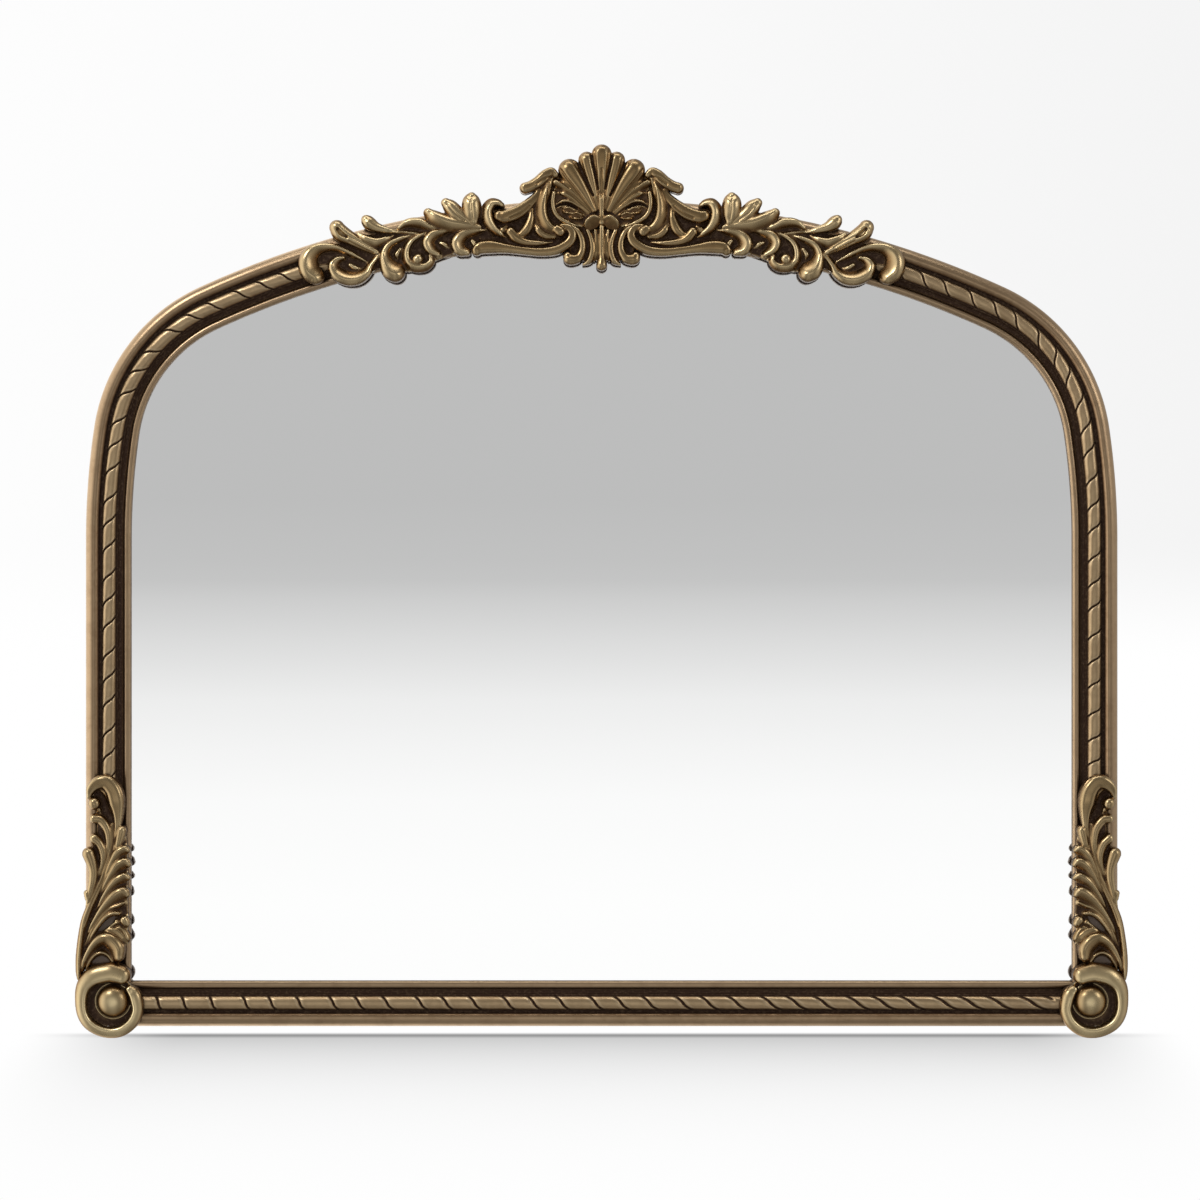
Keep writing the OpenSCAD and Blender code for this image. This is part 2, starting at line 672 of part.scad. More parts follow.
module crest_shell_body() {
    difference() {
        union() {
            stroke(crest(shell_mid), level_t + mid_lift);
            both_sides() {
                for (p = shell_lobes) stroke(crest(p), level_t + lobe_lift);
                for (p = shell_leaflets) stroke(crest(p), level_t + leaflet_lift);
            }
            upright(back_d + cast_back, back_d + level_t + shell_lift) shell_ground();
        }
        seat_arch();
    }
}

// The flat ground under the shell's ribs
shell_edge = [[0, 45], [14.2, 37.3], [28.7, 30.2], [39.4, 19.2], [44.8, 3.2], [44.6, -10.4], [37.4, -18.6],
    [20.4, -25.4], [0, -28.2]];
module shell_ground() {
    polygon(concat([for (p = shell_edge) on_crown(p[0], p[1])],
        [for (i = [len(shell_edge) - 2 : -1 : 1]) on_crown(-shell_edge[i][0], shell_edge[i][1])]));
}

scroll_strokes = [
    [[43, 24, 2.5], [51, 22.5, 3.6], [60, 18, 4.4], [68, 14, 5], [73, 12.8, 5.2]],
    [[47, 20, 2.5], [54, 11, 3.2], [60, 0, 3.8], [62.5, -11, 4], [60, -21, 4.2], [53, -28, 4],
        [47, -30, 3.4]],
    [[45, -29.5, 3.5], [39, -29, 3.5], [35.5, -34, 3.6], [39, -42, 4], [50, -49, 4.4], [65, -50.5, 4.2],
        [80, -48, 4.2], [97, -45, 4.6], [112, -42.5, 5.6], [125, -42, 5.6]],
    [[67, 2, 3.5], [76, -5, 4.3], [86, -10.5, 4.8], [95, -12.2, 4.8], [101, -12, 4]],
    [[70, -12, 2], [72, -22, 2.8], [78, -28, 2.8], [84, -30.5, 2.2]],
    [[94, -28, 2.4], [88, -34, 3], [79, -39.5, 2.6], [66, -41.5, 2], [52, -41, 1.6]],
    [[105, -17, 1.8], [102, -22, 2.2], [98, -25, 1.6]]];
scroll_ground = [[42, 20], [56, 16], [62, 4], [80, -8], [100, -14], [116, -22], [122, -40], [100, -45],
    [60, -50], [42, -44], [30, -30], [30, -10]];
module crest_scroll_body() {
    difference() {
        union() {
            for (p = scroll_strokes) stroke(crest(p), level_t);
            upright(back_d + cast_back, back_d + ground_t)
                polygon([for (p = scroll_ground) on_crown(p[0], p[1])]);
        }
        seat_arch();
        crest_shell_room();
        pendant_room();
    }
}

// Room for the shell and the pendant, which are cast apart from the scrolls
module crest_shell_room() {
    upright(0, over_d) offset(cast_gap, $fn = room_fn) {
        shell_ground();
        both_sides() for (p = concat(shell_lobes, shell_leaflets)) flat_stroke(crest(p));
    }
}

pendant_strokes = [[[14, -31, 2], [9.5, -40, 2.4], [8.5, -50, 2.6], [12, -60, 2.6], [19, -64, 2.2]],
    [[29.5, -28, 2], [23, -33, 2.8], [19, -43, 3], [19.5, -52, 3.2], [25, -58.5, 3.8], [34, -58, 4.6]],
    [[20, -29, 1.6], [14.5, -38, 2.2], [13.5, -50, 2.4], [18, -60, 2.2]]];
pendant_stem = [[0, -32, 4.5], [0, -45, 3.6], [0, -56, 3.6], [0, -65, 4.6]];
pendant_edge = [[0, -29.5], [18, -27], [28, -27], [24, -36], [25, -55], [16, -61], [6, -60], [0, -66]];
module pendant_ground() {
    polygon(concat([for (p = pendant_edge) on_crown(p[0], p[1])],
        [for (i = [len(pendant_edge) - 2 : -1 : 1]) on_crown(-pendant_edge[i][0], pendant_edge[i][1])]));
}
module pendant_room() {
    upright(0, over_d) offset(cast_gap, $fn = room_fn) {
        pendant_ground();
        flat_stroke(crest(pendant_stem));
        both_sides() for (p = pendant_strokes) flat_stroke(crest(p));
    }
}
module crest_pendant_body() {
    difference() {
        union() {
            stroke(crest(pendant_stem), level_t + leaflet_lift);
            both_sides() for (p = pendant_strokes) stroke(crest(p), level_t);
            upright(back_d + cast_back, back_d + ground_t) pendant_ground();
        }
        seat_arch();
        crest_shell_room();
    }
}

module crest_shell() { color("darkgoldenrod") hung() crest_shell_body(); }
module right_crest_scroll() { color("goldenrod") hung() crest_scroll_body(); }
module left_crest_scroll() { color("goldenrod") hung() mirror([1, 0, 0]) crest_scroll_body(); }
module crest_pendant() { color("khaki") hung() crest_pendant_body(); }

spray_strokes = [
    [[95, 0, 2.4], [104, 0, 3], [112, -4, 3.2], [113.5, -12, 3.2], [109, -22, 2.6], [104, -28, 1.8]],
    [[125, 7, 6.5], [126, -1, 8.5], [123, -9, 6], [120, -15, 3]],
    [[150, 5, 4], [145, -3, 6], [138, -11, 6], [129, -16, 4], [119, -19, 2]],
    [[168, -1, 4.2], [161, -7, 5.5], [152, -13, 4.5], [141, -17, 3]],
    [[196, -7.5, 2.2], [187, -7, 4.2], [177, -10, 4.5], [166, -14, 3]],
    [[227, 4, 5.8], [222, -4, 4.2], [213, -8.5, 3], [202, -11, 2.4]],
    [[238, -6, 2.4], [234, -12, 3.4], [226, -17, 4], [216, -16, 3.2], [205, -14, 2.2]],
    [[251, 4, 2], [254, 8, 2.8], [260, 6.5, 3.4], [263, 0, 3.8], [257, -7, 4], [247, -13, 3.4], [237, -20, 3],
        [229, -27, 2.4]],
    [[290, -31, 6], [294, -24, 6], [292, -15, 5], [284, -10.5, 4.2], [272, -10, 3], [258, -18, 2.8],
        [244, -26.5, 2.6], [232, -32, 2.2]],
    [[264, -26, 3], [271, -27, 3.6], [273.5, -34, 4.2], [267, -42, 5.2], [255, -47.5, 5.8], [244, -47, 5.2],
        [237, -41, 3.6], [235, -33, 2.4]],
    [[212, -52, 6.4], [221, -50, 6], [224, -42, 3.4], [220, -32, 2.8], [213, -23, 2.4], [205, -16, 2]],
    [[186, -44, 4.4], [180, -46, 4], [179, -52.5, 3.8], [188, -54.5, 4], [196, -50, 3.8], [199, -41, 3.2],
        [196.5, -32, 2.8], [190, -24, 2.5], [182, -18.5, 2]],
    [[171, -42.5, 2.6], [175, -37, 3.8], [175.5, -30, 3.8], [170, -24.5, 3.6], [161, -21.5, 2.8],
        [152, -21, 1.8]],
    [[143, -46, 3.6], [146, -42, 4.2], [144, -35, 4], [137, -28.5, 3.3], [127, -25.5, 2.4],
        [116, -25.5, 1.8]],
    [[163, -31, 2], [158, -36, 3], [162, -42, 1.8]]];
spray_ground = [[106, -6], [120, -2], [132, 0], [150, -4], [165, -6], [190, -8], [225, -8], [240, -8],
    [258, -8], [285, -12], [290, -24], [268, -30], [262, -42], [244, -46], [228, -42], [214, -48],
    [188, -52], [176, -42], [148, -42], [133, -30], [112, -30]];
module spray_body() {
    difference() {
        union() {
            for (p = spray_strokes) stroke(crest(p), level_t);
            upright(back_d + cast_back, back_d + ground_t)
                polygon([for (p = spray_ground) on_crown(p[0], p[1])]);
        }
        seat_arch();
        scroll_room();
    }
}

// Room for the crest scroll's outer parts beside the spray
module scroll_room() {
    upright(0, over_d) offset(cast_gap, $fn = room_fn) {
        polygon([for (p = scroll_ground) on_crown(p[0], p[1])]);
        for (k = [2, 3]) flat_stroke(crest(scroll_strokes[k]));
    }
}

module right_spray() { color("goldenrod") hung() spray_body(); }
module left_spray() { color("goldenrod") hung() mirror([1, 0, 0]) spray_body(); }

leaf_strokes = [
    [[6.5, 230, 2], [9, 237, 3.4], [17, 241, 4.4], [26, 236, 5.5], [32, 225, 5.5], [33.5, 212, 4],
        [32.5, 200, 2.6], [30, 185, 2.4], [26.5, 165, 2.2], [21, 145, 2]],
    [[11, 219.5, 5.8], [11.5, 218.5, 5.8]],
    [[10.5, 203, 3.6], [16, 198, 3.8], [21, 187, 2.8], [23.5, 172, 2.2], [21, 155, 1.8]],
    [[9, 185, 3.2], [13, 182, 4], [17.5, 172, 3.2], [19, 160, 2.4], [16, 145, 1.8]],
    [[5, 168, 5.2], [8.5, 161, 4.4], [11, 150, 3], [10, 139, 2.6], [7, 126, 2.4], [3, 110, 2.6], [-1, 92, 2.6],
        [-3.5, 75, 3.4], [-3, 62, 3.4]],
    [[4.5, 131, 3], [7.5, 124, 2.2]],
    [[37, 190, 3.6], [36.5, 184, 3.4], [33, 174, 2.4], [29, 160, 1.8]],
    [[42, 172, 2.6], [36, 168.5, 3.4], [30, 159, 2.6], [25, 145, 2]],
    [[42, 160, 3], [36, 156, 3.6], [29, 147, 2.8], [23, 134, 2]],
    [[41.5, 147, 2.8], [35, 144.5, 3.6], [27, 137.5, 3], [19, 125, 2.4], [13, 110, 2]],
    [[40, 131, 3.6], [33, 127.5, 3.8], [24, 123.5, 3.4], [15, 114, 2.6], [8, 101, 2.2], [3, 86, 2]],
    [[34, 110, 2.4], [31, 114.5, 3], [24.5, 117, 3], [17, 112, 2.8], [9, 102, 2.4], [2, 90, 2.2]],
    [[27, 98, 1.8], [32, 104.5, 2.4], [39, 106.5, 2.6], [43, 102, 2.4], [42, 97, 2]],
    [[44, 83, 2.4], [39, 88.5, 2.6], [33, 93.5, 2.4], [25, 95, 2.2], [17, 92, 2], [9, 84, 2]],
    [[32, 69.5, 4.4], [31, 77, 5.2], [25, 83, 5.4], [16, 84.5, 4.6], [8, 81, 3.6], [1, 73, 2.8]]];
leaf_ground = [[4, 232], [17, 243], [32, 232], [36, 200], [41, 190], [42, 165], [41, 130], [41, 92], [35, 64],
    [-1, 64], [-3, 80], [1, 105], [7, 135], [6, 170], [9, 190], [8, 212]];
module leaf_body() {
    difference() {
        union() {
            for (p = leaf_strokes) stroke(corner(p), level_t);
            upright(back_d + cast_back, back_d + ground_t)
                polygon([for (p = leaf_ground) [half_w - p[0], p[1]]]);
        }
        seat_corner();
        volute_room();
    }
}

// The volute: a ring that thins as it turns round the boss
boss_at = [28, 25.8];
volute_stroke = [[36.5, 51, 9], [30, 53, 9.6], [23.2, 53.6, 9.8], [9.2, 49.8, 9.4], [0.4, 40.6, 7.6],
    [-2.4, 27.3, 6.2], [-0.5, 12.8, 5.8], [6.8, 2.4, 5.6], [20.4, -4, 5.4], [35.2, -3.2, 5.6], [46.8, 5, 5.6],
    [52, 16.7, 5.6], [51, 26.5, 6.2], [48.5, 33, 5.8], [44.5, 37.5, 4]];
module volute_room() {
    upright(0, over_d) offset(cast_gap, $fn = room_fn) {
        flat_stroke(corner(volute_stroke));
        volute_floor();
    }
}
module volute_floor() { translate([half_w - boss_at[0], boss_at[1]]) circle(boss_r + boss_rim); }
module volute_body() {
    difference() {
        union() {
            stroke(corner(volute_stroke), level_t + lobe_lift);
            upright(back_d + cast_back, back_d + floor_t) volute_floor();
        }
        seat_corner();
        translate([half_w - boss_at[0], -over_d, boss_at[1]]) rotate([-90, 0, 0])
            cylinder(h = over_d - back_d - floor_t + boss_seat_t, r = boss_r + seat_gap);
    }
}

// The boss is a turned dome on a short spigot, let into the volute's floor
boss_seat_t = 1;
module boss_body() {
    dome_r = (boss_r * boss_r + boss_t * boss_t) / (2 * boss_t);
    translate([half_w - boss_at[0], -back_d - floor_t, boss_at[1]]) rotate([90, 0, 0]) {
        intersection() {
            translate([0, 0, boss_t - dome_r]) sphere(dome_r, $fn = 64);
            cylinder(h = boss_t + past, r = boss_r);
        }
        translate([0, 0, -boss_seat_t]) cylinder(h = boss_seat_t, r = boss_r);
    }
}

module right_leaf() { color("darkgoldenrod") hung() leaf_body(); }
module left_leaf() { color("darkgoldenrod") hung() mirror([1, 0, 0]) leaf_body(); }
module right_volute() { color("goldenrod") hung() volute_body(); }
module left_volute() { color("goldenrod") hung() mirror([1, 0, 0]) volute_body(); }
module right_boss() { color("khaki") hung() boss_body(); }
module left_boss() { color("khaki") hung() mirror([1, 0, 0]) boss_body(); }

bottom_rail();
left_stile();
right_stile();
left_haunch();
right_haunch();
left_shoulder();
right_shoulder();
crown_rail();
bottom_rope();
left_rope();
right_rope();
mirror_glass();
foam_sheet();
backing_board();
setting_blocks();
board_clips();
clip_screws();
frame_dowels();
corner_braces();
joint_plates();
brace_screws();
left_hanger_strap();
right_hanger_strap();
left_d_ring();
right_d_ring();
hanger_screws();
wall_pads();
crest_shell();
left_crest_scroll();
right_crest_scroll();
crest_pendant();
left_spray();
right_spray();
left_leaf();
right_leaf();
left_volute();
right_volute();
left_boss();
right_boss();
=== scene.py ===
# Arched wall mirror: a brass-finished arched frame with a twisted rope moulding,
# a shell crest with leaf sprays, and scrolled leaf corners.
# Shapes are worked out in millimetres from the frame's bottom edge, and meshes are in metres.
import math
import bpy
import bmesh
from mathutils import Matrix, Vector
import numpy as np


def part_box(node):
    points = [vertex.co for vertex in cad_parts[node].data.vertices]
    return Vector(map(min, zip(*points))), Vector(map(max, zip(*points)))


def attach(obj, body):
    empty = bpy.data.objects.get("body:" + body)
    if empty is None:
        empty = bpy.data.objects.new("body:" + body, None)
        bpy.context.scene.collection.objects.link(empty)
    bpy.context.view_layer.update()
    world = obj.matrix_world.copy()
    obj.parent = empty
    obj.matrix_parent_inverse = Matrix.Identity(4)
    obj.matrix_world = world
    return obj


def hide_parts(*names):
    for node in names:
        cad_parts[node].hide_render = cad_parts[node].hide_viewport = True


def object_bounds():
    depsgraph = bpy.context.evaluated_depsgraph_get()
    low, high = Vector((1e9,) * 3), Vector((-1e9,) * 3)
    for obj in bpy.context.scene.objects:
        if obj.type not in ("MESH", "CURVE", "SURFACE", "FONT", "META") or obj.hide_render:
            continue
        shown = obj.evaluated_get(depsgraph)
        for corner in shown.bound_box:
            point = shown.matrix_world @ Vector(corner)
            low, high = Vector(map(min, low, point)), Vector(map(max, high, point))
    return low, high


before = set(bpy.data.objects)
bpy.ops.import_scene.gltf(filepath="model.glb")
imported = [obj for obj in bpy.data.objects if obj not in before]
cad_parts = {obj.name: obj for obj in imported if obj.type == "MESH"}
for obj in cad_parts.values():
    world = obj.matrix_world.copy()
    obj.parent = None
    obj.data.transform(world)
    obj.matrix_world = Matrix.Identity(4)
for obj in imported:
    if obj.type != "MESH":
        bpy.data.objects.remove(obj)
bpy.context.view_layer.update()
print("frame loaded:", len(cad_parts), "nodes")

mm = 0.001
scene = bpy.context.scene

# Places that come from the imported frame
railLow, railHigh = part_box("bottom_rail")
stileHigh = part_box("right_stile")[1]
bottomEdge = railLow.z / mm
backFace = -railHigh.y / mm
fullTurn = 2 * math.pi

# The frame's outline: three arcs on each side, from the springing to the crown
outline = {
    "halfWidth": stileHigh.x / mm,
    "springing": stileHigh.z / mm - bottomEdge,
    "haunchRadius": 745.0,
    "haunchAngle": 8.4,
    "shoulderRadius": 178.0,
    "shoulderAngle": 57.0,
}


def polar(centre, radius, degrees):
    a = math.radians(degrees)
    return np.array([centre[0] + radius * math.cos(a), centre[1] + radius * math.sin(a)])


haunchCentre = np.array([outline["halfWidth"] - outline["haunchRadius"], outline["springing"]])
haunchTop = polar(haunchCentre, outline["haunchRadius"], outline["haunchAngle"])
shoulderCentre = polar(haunchTop, -outline["shoulderRadius"], outline["haunchAngle"])
crownStart = outline["haunchAngle"] + outline["shoulderAngle"]
shoulderTop = polar(shoulderCentre, outline["shoulderRadius"], crownStart)
crownRadius = shoulderTop[0] / math.cos(math.radians(crownStart))
crownCentre = polar(shoulderTop, -crownRadius, crownStart)
crownCentre[0] = 0.0

# Offsets in from the frame's outer edge, and heights above the wall
moulding = {
    "beadWidth": 13.0,
    "beadTop": 28.0,
    "beadRadius": 9.0,
    "ropeFrom": 15.8,
    "ropeWidth": 14.5,
    "ropeTop": 28.5,
    "ropeSeat": 21.5,
    "grooveFloor": 22.5,
    "coveFrom": 30.3,
    "coveFloor": 19.0,
    "lipFrom": 36.8,
    "lipWidth": 7.0,
    "lipTop": 23.0,
    "rebateFrom": 33.8,
    "glassFront": 16.5,
}
ropeMiddle = moulding["ropeFrom"] + moulding["ropeWidth"] / 2
mouldingWidth = moulding["lipFrom"] + moulding["lipWidth"]


# A socket that takes part in Python sums, where each operator adds its Math node
class Wire:
    def __init__(self, board, socket):
        self.board = board
        self.socket = socket

    def math(self, operation, *values):
        inputs = {i: value for i, value in enumerate(values)}
        return self.board.add("ShaderNodeMath", {"operation": operation}, inputs)

    def __add__(self, other):
        return self.math("ADD", self, other)

    def __radd__(self, other):
        return self.math("ADD", other, self)

    def __sub__(self, other):
        return self.math("SUBTRACT", self, other)

    def __rsub__(self, other):
        return self.math("SUBTRACT", other, self)

    def __mul__(self, other):
        return self.math("MULTIPLY", self, other)

    def __truediv__(self, other):
        return self.math("DIVIDE", self, other)

    def __neg__(self):
        return self.math("MULTIPLY", self, -1.0)

    def least(self, other):
        return self.math("MINIMUM", self, other)

    def most(self, other):
        return self.math("MAXIMUM", self, other)

    def apply(self, operation):
        return self.math(operation, self)

    def size(self):
        return self.apply("ABSOLUTE")

    # Goes smoothly from 0 to 1 as the value goes from low to high
    def ramp(self, low, high):
        settings = {"interpolation_type": "SMOOTHSTEP"}
        inputs = {"Value": self, "From Min": low, "From Max": high, "To Min": 0.0, "To Max": 1.0}
        return self.board.add("ShaderNodeMapRange", settings, inputs)


# A node tree that adds a node by its type, its settings and its sockets' values or links
class Board:
    def __init__(self, tree):
        self.tree = tree
        tree.nodes.clear()

    def add(self, kind, settings=None, inputs=None, output=0):
        node = self.tree.nodes.new(kind)
        count = len(self.tree.nodes)
        node.location = (240 * (count // 8), -220 * (count % 8))
        for name, value in (settings or {}).items():
            if name == "stops":
                self.setStops(node.color_ramp, value)
            else:
                setattr(node, name, value)
        for key, value in (inputs or {}).items():
            if isinstance(value, Wire):
                self.tree.links.new(value.socket, node.inputs[key])
            else:
                node.inputs[key].default_value = value
        if output is None:
            return node
        return Wire(self, node.outputs[output])

    def setStops(self, ramp, stops):
        while len(ramp.elements) > 1:
            ramp.elements.remove(ramp.elements[-1])
        ramp.elements[0].position = stops[0][0]
        ramp.elements[0].color = grey(stops[0][1])
        for position, level in stops[1:]:
            ramp.elements.new(position).color = grey(level)

    # A blend of two colours, each a link or a value
    def blend(self, factor, first, second):
        return self.add("ShaderNodeMix", {"data_type": "RGBA"}, {0: factor, 6: first, 7: second}, 2)

    def noise(self, place, scale, detail=2.0, roughness=0.5):
        inputs = {"Vector": place, "Scale": scale, "Detail": detail, "Roughness": roughness}
        return self.add("ShaderNodeTexNoise", None, inputs)

    def attribute(self, name):
        return self.add("ShaderNodeAttribute", {"attribute_name": name}, None, "Fac")

    def objectPlace(self):
        return self.add("ShaderNodeTexCoord", None, None, "Object")

    def combine(self, x, y, z):
        return self.add("ShaderNodeCombineXYZ", None, {0: x, 1: y, 2: z})

    def bump(self, height, strength):
        inputs = {"Strength": strength, "Distance": 0.3 * mm, "Height": height}
        return self.add("ShaderNodeBump", None, inputs)

    def principled(self, inputs):
        self.finish(self.add("ShaderNodeBsdfPrincipled", None, inputs))

    def finish(self, shader):
        self.add("ShaderNodeOutputMaterial", None, {"Surface": shader}, None)


def rgb(red, green, blue):
    return (red, green, blue, 1.0)


def grey(level):
    return rgb(level, level, level)


def newMaterial(name):
    material = bpy.data.materials.new(name)
    material.use_nodes = True
    return material, Board(material.node_tree)


# Aged brass leaf: bright on rubbed ridges, with painted highlights on stroke crests, domes and rims; dark
# glaze in the hollows, with painted shade from the shade field blended into the same glaze colours
leafFinish = {
    "casting": {"metal": rgb(0.265, 0.172, 0.077), "worn": rgb(0.64, 0.50, 0.285), "rough": 0.24},
    "polished": {"metal": rgb(0.27, 0.172, 0.075), "worn": rgb(0.88, 0.72, 0.42), "rough": 0.27},
    "rope": {"metal": rgb(0.45, 0.32, 0.18), "worn": rgb(0.62, 0.48, 0.30), "rough": 0.33},
    "moulding": {"metal": rgb(0.37, 0.255, 0.15), "worn": rgb(0.52, 0.39, 0.25), "rough": 0.30},
}
glazeAndShade = {"deep": rgb(0.034, 0.016, 0.008), "thin": rgb(0.13, 0.066, 0.028), "bare": rgb(0.135, 0.105, 0.085),
         "mottle": rgb(0.105, 0.066, 0.038), "sheen": 0.18, "bump": 0.06, "thinMost": 0.8,
         "mottleMost": 0.55, "fleckMost": 0.2, "bareMost": 0.9, "metalLoss": 0.75}
grain = {"cloud": 55.0, "wash": 190.0, "mottle": 420.0, "speck": 900.0}
glazeAndShadeRange = {"tone": (0.32, 0.68), "thin": (0.12, 0.85), "deep": (0.45, 1.15), "mottle": (0.5, 0.66),
              "fleck": (0.66, 0.74)}


def brassLeaf(name):
    finish = leafFinish[name]
    material, board = newMaterial(name + "Brass")
    place = board.objectPlace()
    hollow, shade, worn, plain = [board.attribute(key) for key in ("hollow", "shade", "worn", "bare")]
    cloud = board.noise(place, grain["cloud"], 3.0)
    speck = board.noise(place, grain["speck"], 2.0, 0.6)
    wash = board.noise(place, grain["wash"], 4.0, 0.6)
    mottle = board.noise(place, grain["mottle"], 2.0, 0.6).ramp(*glazeAndShadeRange["mottle"])
    tone = (cloud * 0.6 + wash * 0.4).ramp(*glazeAndShadeRange["tone"])
    metal = board.blend(tone, finish["metal"], glazeAndShade["thin"])
    metal = board.blend((tone * 0.3 + 0.05).least(1.0), finish["metal"], metal)
    # Brightening towards the rubbed-brass colour: real rubbing on ridges, plus painted highlights on stroke
    # crests, bosses, rings and beside rope cuts
    bright = (worn * (0.7 + cloud * 0.4)).least(1.0)
    metal = board.blend(bright, metal, finish["worn"])
    # Painted shade: the shade field darkens the brass towards the thin glaze colour and, with the glaze in
    # the hollows, towards the deep fill
    thin = (shade * 0.85 + hollow * 0.5 + (wash - 0.5) * 0.18).ramp(*glazeAndShadeRange["thin"])
    deep = (hollow * 1.1 + shade * 0.55 + (wash - 0.5) * 0.3).ramp(*glazeAndShadeRange["deep"])
    color = board.blend(thin * glazeAndShade["thinMost"], metal, glazeAndShade["thin"])
    fill = board.blend(mottle * glazeAndShade["mottleMost"], glazeAndShade["deep"], glazeAndShade["mottle"])
    color = board.blend(deep, color, fill)
    fleck = (speck.ramp(*glazeAndShadeRange["fleck"]) * glazeAndShade["fleckMost"] * (1.0 - bright)).least(1.0)
    color = board.blend(fleck, color, glazeAndShade["thin"])
    color = board.blend(plain * glazeAndShade["bareMost"], color, glazeAndShade["bare"])
    rough = finish["rough"] + plain * 0.25 + deep * 0.35 + (speck - 0.5) * 0.08 + tone * 0.06
    board.principled({"Base Color": color, "Roughness": rough, "Metallic": 1.0 - deep * glazeAndShade["metalLoss"],
                      "Normal": board.bump(speck * 0.5 + wash * 1.5, glazeAndShade["bump"]),
                      "Specular IOR Level": glazeAndShade["sheen"]})
    return material


def newObject(name, data):
    thing = bpy.data.objects.new(name, data)
    scene.collection.objects.link(thing)
    return thing


# Named values on a mesh's points: a number or a vector for each
def addValues(mesh, values):
    for key, value in values.items():
        value = np.asarray(value, np.float32)
        kind, part = ("FLOAT", "value") if value.ndim == 1 else ("FLOAT_VECTOR", "vector")
        mesh.attributes.new(key, kind, "POINT").data.foreach_set(part, value.ravel())


# Meshes: vertices in millimetres from the frame's bottom edge, as (x, height above the wall, z)
def makeMesh(name, points, faces, values):
    mesh = bpy.data.meshes.new(name)
    place = np.asarray(points, float) * np.array([mm, -mm, mm]) + np.array([0, 0, bottomEdge * mm])
    loops = np.concatenate([np.asarray(f, np.int32).ravel() for f in faces])
    sizes = np.concatenate([np.full(len(f), np.shape(f)[1], np.int32) for f in faces])
    starts = np.concatenate([[0], np.cumsum(sizes)[:-1]]).astype(np.int32)
    mesh.vertices.add(len(place))
    mesh.vertices.foreach_set("co", place.astype(np.float32).ravel())
    mesh.loops.add(len(loops))
    mesh.loops.foreach_set("vertex_index", loops)
    mesh.polygons.add(len(sizes))
    mesh.polygons.foreach_set("loop_start", starts)
    mesh.polygons.foreach_set("loop_total", sizes)
    mesh.update(calc_edges=True)
    addValues(mesh, values)
    mesh.polygons.foreach_set("use_smooth", [True] * len(sizes))
    return mesh


def makePiece(name, mesh, material, nodes, body="mirror"):
    piece = newObject(name, mesh)
    mesh.materials.clear()
    mesh.materials.append(material)
    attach(piece, body)
    if nodes:
        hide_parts(*nodes)
    return piece


# A smooth line through given points, in even steps between each two
def smoothLine(points, steps):
    p = np.asarray(points, float)
    q = np.vstack([2 * p[0] - p[1], p, 2 * p[-1] - p[-2]])
    q[0, 2:] = p[0, 2:]
    q[-1, 2:] = p[-1, 2:]
    t = (np.arange(steps) / steps)[:, None]
    rows = []
    for i in range(len(p) - 1):
        a, b, c, d = q[i], q[i + 1], q[i + 2], q[i + 3]
        rows.append((2 * b + t * (c - a) + t ** 2 * (2 * a - 5 * b + 4 * c - d)
                     + t ** 3 * (3 * b - a - 3 * c + d)) / 2)
    rows.append(p[-1:])
    return np.vstack(rows)


# Places on the crown: distance along the outer edge from the middle, and height over that edge
def onCrown(points):
    p = np.asarray(points, float).copy()
    a = p[:, 0] / crownRadius
    r = crownRadius + p[:, 1]
    p[:, 0] = crownCentre[0] + r * np.sin(a)
    p[:, 1] = crownCentre[1] + r * np.cos(a)
    return p


# Places on the right corner: distance in from the outer edge, and height over the bottom edge
def onCorner(points):
    p = np.asarray(points, float).copy()
    p[:, 0] = outline["halfWidth"] - p[:, 0]
    return p


# Half of a round arch over its middle, from 1 at the middle to 0 at its ends
def arch(q, middle=0.0, half=1.0):
    return np.sqrt(np.clip(1 - ((q - middle) / half) ** 2, 0, 1))


# Sections of a carved stroke: height over half width, across from -1 to 1
def bandSection(q):
    return 0.95 * np.clip(1 - np.abs(q) ** 3.2, 0, 1) ** 0.5


def ridgeSection(q):
    return np.clip(1 - np.abs(q) ** 0.9, 0, 1) ** 0.62


def gutterSection(q):
    a = np.abs(q)
    rimAt = 0.68
    floor = 0.30 + 0.62 * np.clip(a / rimAt, 0, 1) ** 2
    return np.where(a < rimAt, floor, 0.92 * arch(a, rimAt, 1 - rimAt))


# A flute is round, with a fine line cut near each of its sides
def fluteSection(q):
    return arch(q) - 0.17 * np.exp(-((np.abs(q) - 0.64) / 0.10) ** 2)


# A blade falls away in a hollow from the rim on its left-hand side
def bladeSection(q):
    rimAt = 0.62
    fall = np.clip((rimAt - q) / (1 + rimAt), 0, 1)
    height = np.where(q < rimAt, 1 - 0.95 * fall ** 0.75, arch(q, rimAt, 1 - rimAt))
    return height * np.where(q < -0.9, np.clip((1 + q) / 0.1, 0, 1), 1)


# A swell bulges on the left-hand side of its direction and falls away to the right
def swellSection(q):
    crestAt = 0.15
    fall = np.clip((1 + q) / (1 + crestAt), 0, 1)
    return np.where(q > crestAt, arch(q, crestAt, 1 - crestAt), 0.5 * fall + 0.5 * (1 - (1 - fall) ** 2))


# A slope is round, with its crest towards the right-hand side
def slopeSection(q):
    crestAt = -0.38
    return arch(q, crestAt, np.where(q < crestAt, 1 + crestAt, 1 - crestAt))


sections = {"round": arch, "flute": fluteSection, "band": bandSection, "ridge": ridgeSection,
            "gutter": gutterSection, "slope": slopeSection, "blade": bladeSection,
            "edge": lambda q: bladeSection(-q), "swellLeft": swellSection,
            "swellRight": lambda q: swellSection(-q)}
flippedSections = {"blade": "edge", "edge": "blade", "swellLeft": "swellRight", "swellRight": "swellLeft"}

